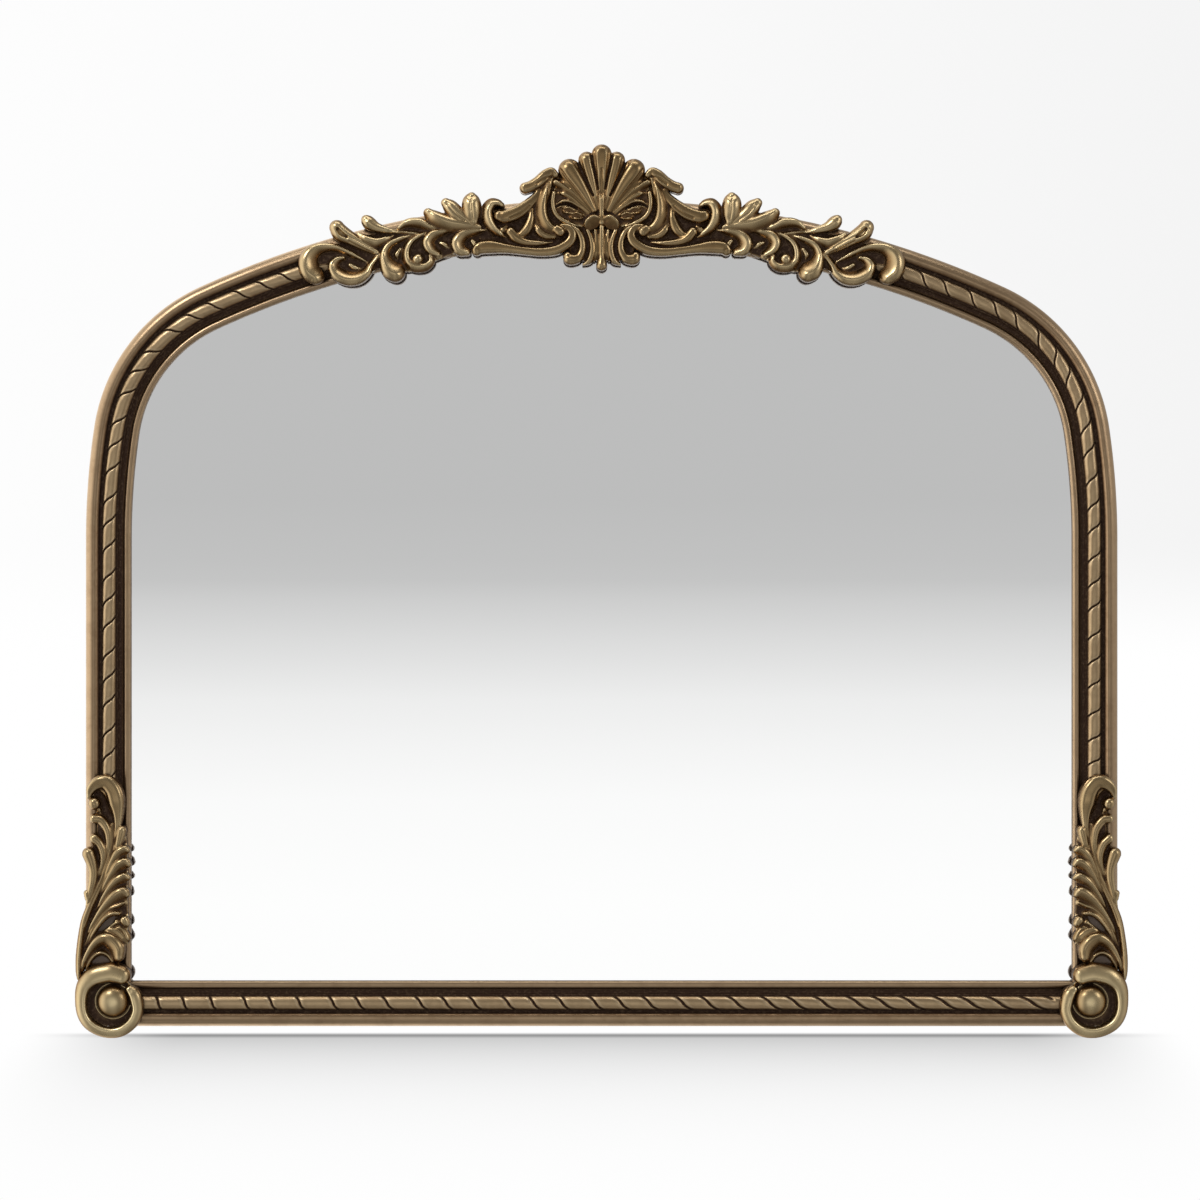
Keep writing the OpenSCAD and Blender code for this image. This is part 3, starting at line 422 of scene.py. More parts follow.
# Heights above the wall that all castings share, and how their strokes are drawn
casting = {"back": 20.0, "ground": 29.2, "shoulder": 31.0, "top": 43.25, "seatGap": 0.25, "thinnest": 0.4,
           "cell": 0.55, "margin": 3.0, "steps": 7, "tail": 2.7, "tailPoints": 8, "tailEnd": 0.35,
           "thin": 2.0, "rise": 1.35, "fullRise": 15.0, "skirt": 3.4, "skirtReach": 1.9, "skirtLift": 0.6,
           "fillet": 0.45, "filletReach": 1.7, "soften": 0.4, "bareRise": 0.9, "bareRim": 0.8, "sharp": 62}
# Where brass is rubbed bright, where glaze lies, and where shade and highlights are painted: how far each
# test reaches, and what each is divided by
wearAndShading = {"fine": 1.3, "broad": 3.6, "flankShade": 0.5, "edgeDrop": 2.5, "lowTop": 0.4, "lowRange": 2.2,
        "hollowFine": 1.1, "hollowLow": 0.55, "shadeBroad": 3.2, "shadeFlank": 0.85, "brightFine": 0.9,
        "brightBroad": 2.0, "bright": 0.8, "flankFrom": 1.15, "flankLoss": 2.3, "rear": 0.8}


def blur(field, radius):
    reach = max(1, int(math.ceil(radius * 3)))
    kernel = np.exp(-0.5 * (np.arange(-reach, reach + 1) / radius) ** 2)
    kernel /= kernel.sum()
    wide = np.pad(field, ((reach, reach), (0, 0)), mode="edge")
    out = sum(k * wide[i:i + field.shape[0]] for i, k in enumerate(kernel))
    wide = np.pad(out, ((0, 0), (reach, reach)), mode="edge")
    return sum(k * wide[:, i:i + field.shape[1]] for i, k in enumerate(kernel))


# Distance to a closed outline, more than 0 inside it
def outlineDepth(polygon, x, z):
    inside = np.zeros(x.shape, bool)
    nearest = np.full(x.shape, 1e9)
    for a, b in zip(polygon, np.roll(polygon, -1, axis=0)):
        crosses = (a[1] > z) != (b[1] > z)
        slope = (b[0] - a[0]) / (b[1] - a[1] + 1e-12)
        inside ^= crosses & (x < a[0] + slope * (z - a[1]))
        run = b - a
        t = np.clip(((x - a[0]) * run[0] + (z - a[1]) * run[1]) / max(run @ run, 1e-9), 0, 1)
        nearest = np.minimum(nearest, np.hypot(x - a[0] - t * run[0], z - a[1] - t * run[1]))
    return np.where(inside, nearest, -nearest)


def smoothOutline(points, steps=6):
    p = np.asarray(points, float)
    ring = np.vstack([p[-2:], p, p[:2]])
    ring = np.hstack([ring, np.zeros((len(ring), 1))])
    line = smoothLine(ring, steps)
    return line[2 * steps:2 * steps + len(p) * steps, :2]


# What a casting is seated on, by the offset in from the frame's outer edge
def seatHeight(inset):
    m = moulding
    gap = casting["seatGap"]
    low = casting["back"]
    r = m["beadRadius"]
    roundEdge = m["beadTop"] - r + np.sqrt(np.clip(r ** 2 - np.clip(r - inset, 0, r) ** 2, 0, None))
    height = np.where(inset < r, roundEdge, m["beadTop"]) + gap
    height = np.where(inset > m["beadWidth"], m["ropeTop"] + gap, height)
    height = np.where(inset > m["coveFrom"] + gap, m["lipTop"] + gap, height)
    height = np.where((inset < -gap) | (inset > mouldingWidth + gap), low, height)
    return np.maximum(height, low)


def crownInset(x, z):
    return crownRadius - np.hypot(x - crownCentre[0], z - crownCentre[1])


def seatOnCrown(x, z):
    return seatHeight(crownInset(x, z))


def seatOnCorner(x, z):
    stile = seatHeight(outline["halfWidth"] - x)
    rail = seatHeight(z)
    return np.maximum(stile, rail)


# Corner cases of a cell that the casting's edge crosses: corners are 0 to 3 anticlockwise,
# and 4 to 7 are the crossings after each corner
cellCases = {
    1: [(0, 4, 7)], 2: [(1, 5, 4)], 3: [(0, 1, 5, 7)], 4: [(2, 6, 5)], 5: [(0, 4, 7), (2, 6, 5)],
    6: [(1, 2, 6, 4)], 7: [(0, 1, 2, 6, 7)], 8: [(3, 7, 6)], 9: [(0, 4, 6, 3)],
    10: [(1, 5, 4), (3, 7, 6)], 11: [(0, 1, 5, 6, 3)], 12: [(2, 3, 7, 5)], 13: [(0, 4, 5, 2, 3)],
    14: [(1, 2, 3, 7, 4)], 15: [(0, 1, 2, 3)],
}


# Where a line's stroke lies on the grid: the distance as a share of its half width, that half
# width, and the share square to the line, which is less beyond the line's ends
def acrossLine(line, x, z, part):
    px = x[part].ravel()[:, None]
    pz = z[part].ravel()[:, None]
    a = line[:-1]
    run = line[1:] - a
    t = ((px - a[:, 0]) * run[:, 0] + (pz - a[:, 1]) * run[:, 1]) / np.maximum(
        run[:, 0] ** 2 + run[:, 1] ** 2, 1e-9)
    t = np.clip(t, 0, 1)
    offX = px - a[:, 0] - t * run[:, 0]
    offZ = pz - a[:, 1] - t * run[:, 1]
    width = a[:, 2] + t * run[:, 2]
    q = np.hypot(offX, offZ) / width
    near = q.argmin(1)[:, None]
    side = (run[:, 0] * offZ - run[:, 1] * offX) / np.maximum(np.hypot(run[:, 0], run[:, 1]), 1e-6) / width
    shape = x[part].shape
    return [np.take_along_axis(f, near, 1)[:, 0].reshape(shape) for f in (q, width, side)]


def lineWindow(line, x, z):
    reach = line[:, 2].max() + 7
    cols = np.where((x[0] > line[:, 0].min() - reach) & (x[0] < line[:, 0].max() + reach))[0]
    rows = np.where((z[:, 0] > line[:, 1].min() - reach) & (z[:, 0] < line[:, 1].max() + reach))[0]
    return np.ix_(rows, cols)


# A stroke's height as a share of its full height, with rounded ends
def strokeShare(kind, q, side):
    across = np.clip(side, -1, 1)
    beyond = np.clip(q ** 2 - across ** 2, 0, None) / np.maximum(1 - across ** 2, 1e-3)
    return sections[kind](across) * np.sqrt(np.clip(1 - beyond, 0, 1))


# A casting's relief: the highest of its strokes and its ground over a fine grid, then its cuts, and the tones
# laid over it: glaze, rubbed ridges, painted shade and painted highlights
def castRelief(pieces, place, seat):
    c = casting
    cell = c["cell"]
    lines = []
    for kind, lift, points in pieces["strokes"]:
        line = smoothLine(place(points), c["steps"])
        line[:, 2] *= pieces.get("fuller", 1.0)
        if points[-1][2] < c["tail"]:
            line[-c["tailPoints"]:, 2] *= np.linspace(1, c["tailEnd"], c["tailPoints"])
        lines.append((kind, lift, line))
    bed = smoothOutline(place(pieces["ground"]))
    bedTop = pieces.get("height", c["ground"])
    spans = [(line[:, :2], line[:, 2].max()) for kind, lift, line in lines] + [(bed, 0.0)]
    low = np.min([spots.min(0) - width for spots, width in spans], axis=0) - c["margin"]
    high = np.max([spots.max(0) + width for spots, width in spans], axis=0) + c["margin"]
    x, z = np.meshgrid(np.arange(low[0], high[0], cell), np.arange(low[1], high[1], cell))
    depth = outlineDepth(bed, x, z)
    edge = np.full(x.shape, bedTop)
    top = np.where(depth > 0, bedTop, c["back"])
    flankShade = np.zeros(x.shape)
    for kind, lift, line in lines:
        part = lineWindow(line, x, z)
        q, width, side = acrossLine(line, x, z, part)
        sink = np.clip(1 - width / c["thin"], 0, 1) * (c["shoulder"] + lift - c["ground"])
        shoulder = c["shoulder"] + lift - sink
        share = strokeShare(kind, q, side)
        height = shoulder + c["fullRise"] * (1 - np.exp(-width * c["rise"] / c["fullRise"])) * share
        inside = width * (1 - q)
        edge[part] = np.where(inside > depth[part], shoulder, edge[part])
        depth[part] = np.maximum(depth[part], inside)
        # Where a stroke is topmost, its flank share sets the painted shade down its sides
        flankShade[part] = np.where((q < 1) & (height > top[part]), 1 - share, flankShade[part])
        skirt = c["skirt"] * (1 - np.exp(inside / c["skirtReach"]))
        skirt = c["shoulder"] + min(lift, c["skirtLift"]) - sink - skirt
        top[part] = np.maximum(top[part], np.where(q < 1, height, skirt))
    carve = np.zeros(x.shape)
    for deep, points in pieces.get("cuts", []):
        line = smoothLine(place(points), c["steps"])
        part = lineWindow(line, x, z)
        q, width, side = acrossLine(line, x, z, part)
        carve[part] = np.maximum(carve[part], deep * np.clip(1 - q ** 2, 0, 1))
    top += c["fillet"] * np.clip(blur(top, c["filletReach"] / cell) - top, 0, None)
    top = np.maximum(top - carve, np.minimum(top, c["ground"]))
    plain = np.zeros(x.shape)
    for patch in pieces.get("bare", []):
        inside = outlineDepth(smoothOutline(place(patch)), x, z)
        plain = np.maximum(plain, np.clip(inside / c["bareRim"], 0, 1))
    top += plain * (c["ground"] + c["bareRise"] - top)
    mask = depth > 0
    soften = c["soften"] / cell
    weight = np.maximum(blur(mask.astype(float), soften), 1e-3)
    top = np.minimum(np.where(mask, blur(np.where(mask, top, 0), soften) / weight, edge), c["top"])
    # Tones: the shade field is painted shade, darkest in broad hollows, on the sunken ground between strokes
    # and down each stroke's flanks; the sunken ground also takes glaze
    w = wearAndShading
    solid = np.where(mask, top, c["ground"] - w["edgeDrop"])
    fine = blur(solid, w["fine"] / cell) - solid
    broad = blur(solid, w["broad"] / cell) - solid
    sunken = np.clip((c["shoulder"] + w["lowTop"] - solid) / w["lowRange"], 0, 1)
    flankShade = blur(flankShade, w["flankShade"] / cell)
    shade = np.maximum(broad / w["shadeBroad"] + sunken, flankShade ** w["shadeFlank"])
    bright = np.clip(-fine / w["brightFine"], 0, 1) * np.clip(1 - broad / w["brightBroad"], 0, 1)
    bright *= w["bright"]
    # Rubbed ridges brighten; the polish of the sprays, corner leaves and volutes is a painted highlight, kept
    # to stroke crests and lost down the flanks
    worn = (bright + pieces.get("polish", 0.0)) * np.clip(w["flankFrom"] - w["flankLoss"] * flankShade, 0, 1)
    hollow = np.clip(fine / w["hollowFine"] + sunken * w["hollowLow"], 0, 1)
    fields = {"hollow": hollow, "shade": np.clip(shade, 0, 1), "worn": worn, "bare": plain}
    return {"x": x, "z": z, "depth": depth, "top": top, "edge": edge, "back": seat(x, z), "fields": fields}


# The relief as a closed mesh: its face, its back and the wall between them. Seen from the front,
# x to the right and z up, the face turns anticlockwise
def reliefMesh(name, relief, mirrored=False):
    x, z, depth, top, edge, back = [relief[key] for key in ("x", "z", "depth", "top", "edge", "back")]
    mask = depth > 0
    corner = np.full(mask.shape, -1)
    corner[mask] = np.arange(mask.sum())
    xs, zs, tops, backs = [x[mask]], [z[mask]], [top[mask]], [back[mask]]
    fields = {key: [value[mask]] for key, value in relief["fields"].items()}
    count = int(mask.sum())
    crossings = []
    for a, b in ((np.s_[:, :-1], np.s_[:, 1:]), (np.s_[:-1, :], np.s_[1:, :])):
        cut = mask[a] != mask[b]
        inA = mask[a][cut]
        t = np.clip(depth[a][cut] / (depth[a][cut] - depth[b][cut]), 0.12, 0.88)
        xs.append(x[a][cut] + t * (x[b][cut] - x[a][cut]))
        zs.append(z[a][cut] + t * (z[b][cut] - z[a][cut]))
        rim = np.where(inA, edge[b][cut], edge[a][cut])
        tops.append(np.minimum(rim, np.where(inA, top[a][cut], top[b][cut])))
        backs.append(np.where(inA, back[a][cut], back[b][cut]))
        for key, value in relief["fields"].items():
            fields[key].append(np.where(inA, value[a][cut], value[b][cut]))
        index = np.full(cut.shape, -1)
        index[cut] = count + np.arange(cut.sum())
        count += int(cut.sum())
        crossings.append(index)
    across, up = crossings
    links = [corner[:-1, :-1], corner[:-1, 1:], corner[1:, 1:], corner[1:, :-1],
             across[:-1, :], up[:, 1:], across[1:, :], up[:, :-1]]
    m = mask.astype(int)
    case = m[:-1, :-1] + 2 * m[:-1, 1:] + 4 * m[1:, 1:] + 8 * m[1:, :-1]
    faces = {3: [], 4: [], 5: []}
    rims = []
    for number, shapes in cellCases.items():
        here = case == number
        for shape in shapes:
            faces[len(shape)].append(np.stack([links[k][here] for k in shape], 1))
            for k, following in zip(shape, shape[1:] + shape[:1]):
                if k > 3 and following > 3:
                    rims.append(np.stack([links[k][here], links[following][here]], 1))
    rims = np.vstack(rims)
    xs, zs, tops, backs = [np.concatenate(v) for v in (xs, zs, tops, backs)]
    side = -1 if mirrored else 1
    under = np.minimum(backs, tops - casting["thinnest"])
    points = np.vstack([np.stack([side * xs, tops, zs], 1), np.stack([side * xs, under, zs], 1)])
    allFaces = [np.stack([rims[:, 1], rims[:, 0], rims[:, 0] + count, rims[:, 1] + count], 1)[:, ::side]]
    for sized in faces.values():
        face = np.vstack(sized)
        allFaces += [face[:, ::side], (face + count)[:, ::-side]]
    values = {}
    for key, value in fields.items():
        value = np.concatenate(value)
        # The relief's back is dark: glaze and painted shade at a fixed level
        rear = np.full_like(value, wearAndShading["rear"] if key in ("hollow", "shade") else 0.0)
        values[key] = np.concatenate([value, rear])
    mesh = makeMesh(name, points, allFaces, values)
    mesh.set_sharp_from_angle(angle=math.radians(casting["sharp"]))
    return mesh


def makeCasting(name, relief, node, mirrored=False, material=None):
    makePiece(name, reliefMesh(name, relief, mirrored), material or castingBrass, [node])


def bothSides(name, relief, node, material=None):
    for side, mirrored in (("left", True), ("right", False)):
        makeCasting(side + name, relief, side + "_" + node, mirrored, material)


def flipPoints(points):
    return [[-p[0]] + list(p[1:]) for p in points]


# A casting that stands on the middle has its sides drawn once, on the right
def wholeCasting(pieces):
    whole = dict(pieces)
    sides, sideCuts = pieces["sides"], pieces.get("sideCuts", [])
    flipped = [(flippedSections.get(kind, kind), lift, flipPoints(points)) for kind, lift, points in sides]
    flippedCuts = [(deep, flipPoints(points)) for deep, points in sideCuts]
    whole["strokes"] = pieces["strokes"] + sides + flipped
    whole["cuts"] = pieces.get("cuts", []) + sideCuts + flippedCuts
    whole["ground"] = pieces["ground"] + flipPoints(pieces["ground"][-2:0:-1])
    return whole


castingBrass = brassLeaf("casting")
polishedBrass = brassLeaf("polished")
ropeBrass = brassLeaf("rope")
mouldingBrass = brassLeaf("moulding")
print("brass finishes made")

# Crest shell: lobes fan out over a bowl with two small leaves in it
shellPieces = {
    "height": casting["ground"] + 1.3,
    "strokes": [
        ("flute", 1.2, [[0, 2, 2.6], [0, 8, 3.8], [0, 20, 6.2], [0, 32, 8.8], [0, 42, 9.8]]),
        ("round", 2.2, [[0, -24, 2.8], [0, -12, 3], [0, -4, 3.6], [0, 1, 3.8]]),
    ],
    "sides": [
        ("flute", 0.8, [[4.2, -10, 2.2], [6.6, 4, 3.8], [9.8, 18, 6.2], [12.4, 29, 7.8],
            [13.9, 36.6, 8.3]]),
        ("flute", 0.4, [[6.8, -12, 2.8], [13.6, 0, 5.8], [21.4, 13.5, 8.8], [27.2, 22.6, 10.6],
            [30.2, 27.4, 11]]),
        ("round", 1.8, [[8.5, -13.5, 1.3], [14, -6.5, 1.6], [22, 3, 2], [31, 12.5, 2.3],
            [39.5, 20.5, 2.4]]),
        ("swellLeft", 0.2, [[11, -12, 1.8], [20, -3.5, 3], [29, 5.5, 4.2], [36.5, 12, 4.8],
            [44, 15.5, 3.8]]),
        ("round", 0.8, [[12, -14, 1.6], [21, -6.5, 2.2], [29, 0.5, 2.8], [36, 4.8, 2.8], [42.5, 6, 2.2]]),
        ("ridge", 1.4, [[13, -15.5, 1.4], [22, -8, 2], [31, -3, 2.2], [39, -2.8, 2.1], [47, -7.4, 1.4]]),
        ("ridge", 1, [[14.5, -18, 1.2], [23, -12.5, 1.5], [31, -8.4, 1.7], [39, -7.2, 1.6],
            [46.4, -8.4, 1.2]]),
        ("gutter", 0.6, [[28.5, -12.9, 2.6], [32, -11.6, 3.8], [35.8, -11.4, 3]]),
        ("gutter", 0.8, [[20.5, -18, 2.8], [24.6, -17, 4], [28.6, -17, 3.2]]),
        ("blade", 2.6, [[2.6, -22, 3], [7.2, -22.4, 6.4], [11.6, -25, 6.2], [14.4, -27.4, 3]]),
        ("round", 0.4, [[46, 6, 2.4], [47.6, -3, 2.6], [46.2, -12, 2.6], [41, -19, 2.6], [33, -23.6, 2.4],
            [24, -26.6, 2.2]]),
    ],
    "cuts": [
        (2, [[0, 0.5, 1.6], [0, 8, 2.6], [0, 16, 2.9], [0, 27, 1.6]]),
        (0.6, [[0, 24, 2], [0, 36, 4.4], [0, 42, 5]]),
    ],
    "sideCuts": [
        (2.6, [[8, 2, 0.9], [13.4, 13, 1.4], [18.4, 24, 1.7], [21.6, 33, 1.7]]),
        (2.4, [[3, 8, 0.8], [5.6, 20, 1.2], [8.4, 32, 1.5], [9.6, 40, 1.5]]),
        (2.4, [[24, -10.2, 0.9], [31, -5.8, 1.5], [38.5, -5, 1.5], [44.5, -7.4, 0.9]]),
        (1.4, [[31, 9.5, 1], [36, 14, 1.4], [40.5, 18.5, 1.4]]),
    ],
    "ground": [[0, 45], [14.2, 38.3], [28.7, 31.2], [39.4, 24.2], [44.8, 14.2], [46.6, -10.4],
        [38.4, -19.6], [20.4, -27.4], [0, -28.2]],
}
makeCasting("crestShell", castRelief(wholeCasting(shellPieces), onCrown, seatOnCrown), "crest_shell")
print("crest shell made")

# Crest scrolls: ears, C-scrolls and the long ribbon under them
scrollPieces = {
    "fuller": 1.1,
    "strokes": [
        ("band", 1.8, [[43.6, 23.4, 3], [47.4, 26.4, 3.9], [53, 23.4, 5], [60, 17.4, 5.3], [67.6, 13.6, 5],
            [73.2, 12.2, 5]]),
        ("swellRight", 1, [[46.9, 21.5, 1.8], [54.1, 8.5, 5], [58.6, -4.5, 5.9], [58.6, -16.4, 6.2],
            [53.9, -25.6, 5.6], [46.5, -30.4, 4.4]]),
        ("round", 2.4, [[44.9, -29.3, 4.4], [41.6, -31.8, 4.9]]),
        ("band", 0.8, [[40, -27, 3], [33, -28.5, 3.6], [29.5, -35, 4.2], [33.5, -42.8, 4.6], [46, -49, 4.4],
            [62, -50.2, 3.8], [80, -47.6, 3.6], [97, -43.9, 4.2], [112, -40.8, 5.8], [123, -40.4, 5.6],
            [127, -42.6, 4.6]]),
        ("band", 0.6, [[60, 8, 3], [66.4, 0.4, 4.4], [75.2, -6.3, 5.6], [85.3, -11.4, 6.4],
            [95.3, -13.4, 6.2], [101, -12, 5]]),
        ("round", 0.6, [[68.5, -8, 2.2], [70, -18, 4], [74.5, -27, 4.8], [82, -33, 3.6]]),
        ("round", 1.2, [[91, -28.6, 4.6], [86, -35, 4.6], [77, -39.8, 3.4], [64, -41.8, 2.6],
            [50, -41.5, 2]]),
        ("round", 0.4, [[48, -36.4, 2.4], [57, -34.5, 3.6], [63.5, -28.5, 3.6], [66, -20, 2.2]]),
        ("round", -0.2, [[95, -23, 2], [99.5, -26, 3], [104, -24, 2]]),
        ("round", -0.8, [[61, -3, 1.6], [64, -14, 2], [63, -26, 2], [57, -34, 1.6]]),
    ],
    "cuts": [
        (1.5, [[48.8, 18, 1], [51.4, 6, 1.9], [52.2, -8, 2.2], [50.8, -19, 1.9], [46.5, -26, 1.2]]),
        (1.3, [[47, 21.5, 1.2], [54, 19.6, 1.6], [62, 14.8, 1.6]]),
        (1.2, [[70, -5.5, 1.2], [79, -12, 1.7], [90, -16, 1.6]]),
        (1.6, [[36, -34, 1.6], [38.5, -38, 1.8], [46, -43.8, 1.4], [60, -45.6, 1]]),
    ],
    "ground": [[42, 24], [50, 22], [58, 12], [66, 4], [84, -4], [100, -10], [116, -22], [124, -38],
        [100, -45], [60, -50], [42, -44], [32, -32], [42, -12]],
}
bothSides("CrestScroll", castRelief(scrollPieces, onCrown, seatOnCrown), "crest_scroll")

# Pendant: a slim stem between nested curls
pendantPieces = {
    "fuller": 1.22,
    "strokes": [
        ("round", 1.2, [[0, -28, 2.2], [0, -38, 2.6], [0, -50, 2.2], [0, -58, 2.8], [0, -65, 4.4]]),
    ],
    "sides": [
        ("round", 0.2, [[6.5, -31, 1.4], [4.8, -42, 1.9], [5.2, -53, 2.2], [7.6, -60.5, 2.2]]),
        ("round", 0.4, [[14, -31, 1.8], [10.5, -40, 2.2], [9.4, -50, 2.6], [12.4, -60, 2.8],
            [19, -64, 2.6]]),
        ("round", 1, [[29, -27.5, 1.6], [23, -33, 2.4], [19.6, -42, 2.8], [20.2, -51, 3.2], [25, -58, 3.8],
            [33, -58.6, 4.6], [35, -55.6, 3.6]]),
    ],
    "ground": [[0, -29.5], [18, -27], [28, -29], [29, -38], [33, -50], [30, -57], [16, -61], [6, -60],
        [0, -66]],
}
makeCasting("crestPendant", castRelief(wholeCasting(pendantPieces), onCrown, seatOnCrown), "crest_pendant")
print("crest scrolls and pendant made")

# Leaf sprays along the arch, from the crest outwards
sprayPieces = {
    "polish": 0.55,
    "strokes": [
        ("swellRight", 1.2, [[291.2, -32.2, 8.4], [295.4, -25, 10], [293.6, -15.8, 9.2], [287, -9.6, 7.2],
            [276.7, -8, 5], [263.6, -12, 3.5], [250.2, -22.4, 2.7], [237.2, -33.7, 2.1]]),
        ("swellLeft", 1, [[259.7, -23.3, 2.1], [266.1, -23.8, 3.7], [271.4, -27.9, 5.4],
            [270.2, -35.8, 6.6], [262.2, -42.9, 7], [251.4, -45.5, 6.6], [241, -42.6, 5], [235, -36.8, 3.5],
            [227, -30.7, 2.9], [219.2, -25, 2.3]]),
        ("round", 0.2, [[255.2, -31.5, 1.9], [250.4, -36, 2.5], [244.5, -37.1, 1.7]]),
        ("swellRight", 1.6, [[212.5, -49.2, 9.7], [216.7, -45.8, 9.3], [219.2, -37.5, 6.6],
            [218.3, -28.9, 4.4], [211.6, -21.9, 3.5], [198.3, -18.8, 2.5], [186, -17.7, 1.9]]),
        ("round", 0, [[202.8, -28.5, 1.9], [207, -32.9, 2.7], [207.3, -38, 1.9]]),
        ("round", 2, [[188, -41.8, 5.2], [187, -41.3, 5.2]]),
        ("swellLeft", 0.6, [[173.8, -40.3, 2.5], [174.5, -46.2, 3.5], [182.3, -50.2, 4.3],
            [193.3, -48, 4.6], [198.4, -40.6, 4.3], [196.7, -30.4, 3.9], [189.9, -22.5, 3.3],
            [178.1, -18.4, 2.3], [165.8, -17.1, 1.7]]),
        ("swellRight", 1, [[166.5, -40, 3.3], [172.5, -34.5, 5.4], [174, -27.3, 6], [168.3, -21.4, 5],
            [158.3, -20, 3.3], [146.4, -20.3, 1.9]]),
        ("round", 0.4, [[162.3, -29.7, 1.7], [157.8, -32.4, 2.5], [153.9, -36.7, 2.1]]),
        ("swellRight", 1.2, [[137.2, -42.7, 3.9], [143.7, -39.1, 6.4], [145, -32.4, 7], [138.4, -26.1, 5.6],
            [126, -24.2, 3.5], [113, -24.2, 1.9]]),
        ("round", 0.2, [[130.4, -32.9, 2.1], [128.1, -37.1, 2.9], [129.8, -41.2, 2.3]]),
        ("round", 1.4, [[257.6, 6.6, 7.4], [255.4, 0.6, 8.4], [247.2, -7.4, 6.6], [238, -16.2, 4.8],
            [226, -26.6, 2.9]]),
        ("round", 1.8, [[228.4, 6.4, 5], [226.6, 3.2, 6.6], [220.7, -2.8, 5], [211, -8.1, 3.3],
            [199.1, -13.1, 2.1]]),
        ("swellRight", 1, [[239.1, -5.7, 2.3], [234.5, -11.4, 5], [225.2, -17.1, 5.6], [215, -16.7, 3.9],
            [206.3, -14.1, 2.3]]),
        ("swellRight", 0.8, [[199, -8.3, 1.9], [190.4, -5, 3.9], [178.9, -7.2, 5], [169.2, -13.6, 3.9],
            [159, -17.9, 2.3]]),
        ("ridge", 0.4, [[200.7, -11.3, 1.4], [189.5, -15, 1.9], [177.1, -18.6, 1.7], [164.2, -19.4, 1.4]]),
        ("round", 1, [[150.2, 7.2, 4.8], [145.8, 1.6, 7.4], [139.4, -7.5, 7.6], [131.6, -15, 5.4],
            [122.3, -19.8, 2.9]]),
        ("swellRight", 1.6, [[168.6, 0.4, 4.8], [162.8, -6.1, 7.6], [151.2, -13.3, 8.2],
            [136.9, -17.6, 6.4], [121.5, -21, 2.9]]),
        ("swellRight", 2.2, [[96.6, -1.8, 2.2], [100.6, 1, 3.1], [107.2, 0.8, 4.8], [112.2, -5.9, 6],
            [112.2, -14.7, 5.8], [108.3, -23, 4.6], [102.1, -29.1, 3.1], [95.9, -33.5, 1.9]]),
        ("round", 2, [[124.9, 9.2, 4.6], [126, 2.9, 9.2], [126.4, -6, 8.8], [126.4, -14.4, 5.2]]),
    ],
    "cuts": [
        (3.4, [[257.2, 4.6, 2.2], [254.8, -0.6, 3], [250.6, -5.2, 1.8]]),
        (1.4, [[250, -9.6, 0.9], [239, -19, 1.1], [229, -26.4, 0.8]]),
        (1.2, [[251, -3.4, 0.8], [242, -11, 1], [232, -20.4, 0.8]]),
        (1.2, [[149, 5, 0.9], [142.6, -5, 1.3], [134, -13.4, 0.9]]),
        (1.2, [[125.4, 6, 0.9], [126.2, -4, 1.3], [126.2, -13, 0.9]]),
    ],
    "ground": [[106, -6], [120, -2], [132, 0], [150, -4], [165, -6], [190, -8], [225, -8], [240, -8],
        [258, -8], [285, -12], [288, -22], [268, -28], [262, -42], [244, -46], [228, -42], [214, -48],
        [192, -52], [180, -48], [148, -42], [134, -42], [118, -40], [108, -30]],
}
bothSides("Spray", castRelief(sprayPieces, onCrown, seatOnCrown), "spray")
print("leaf sprays made")

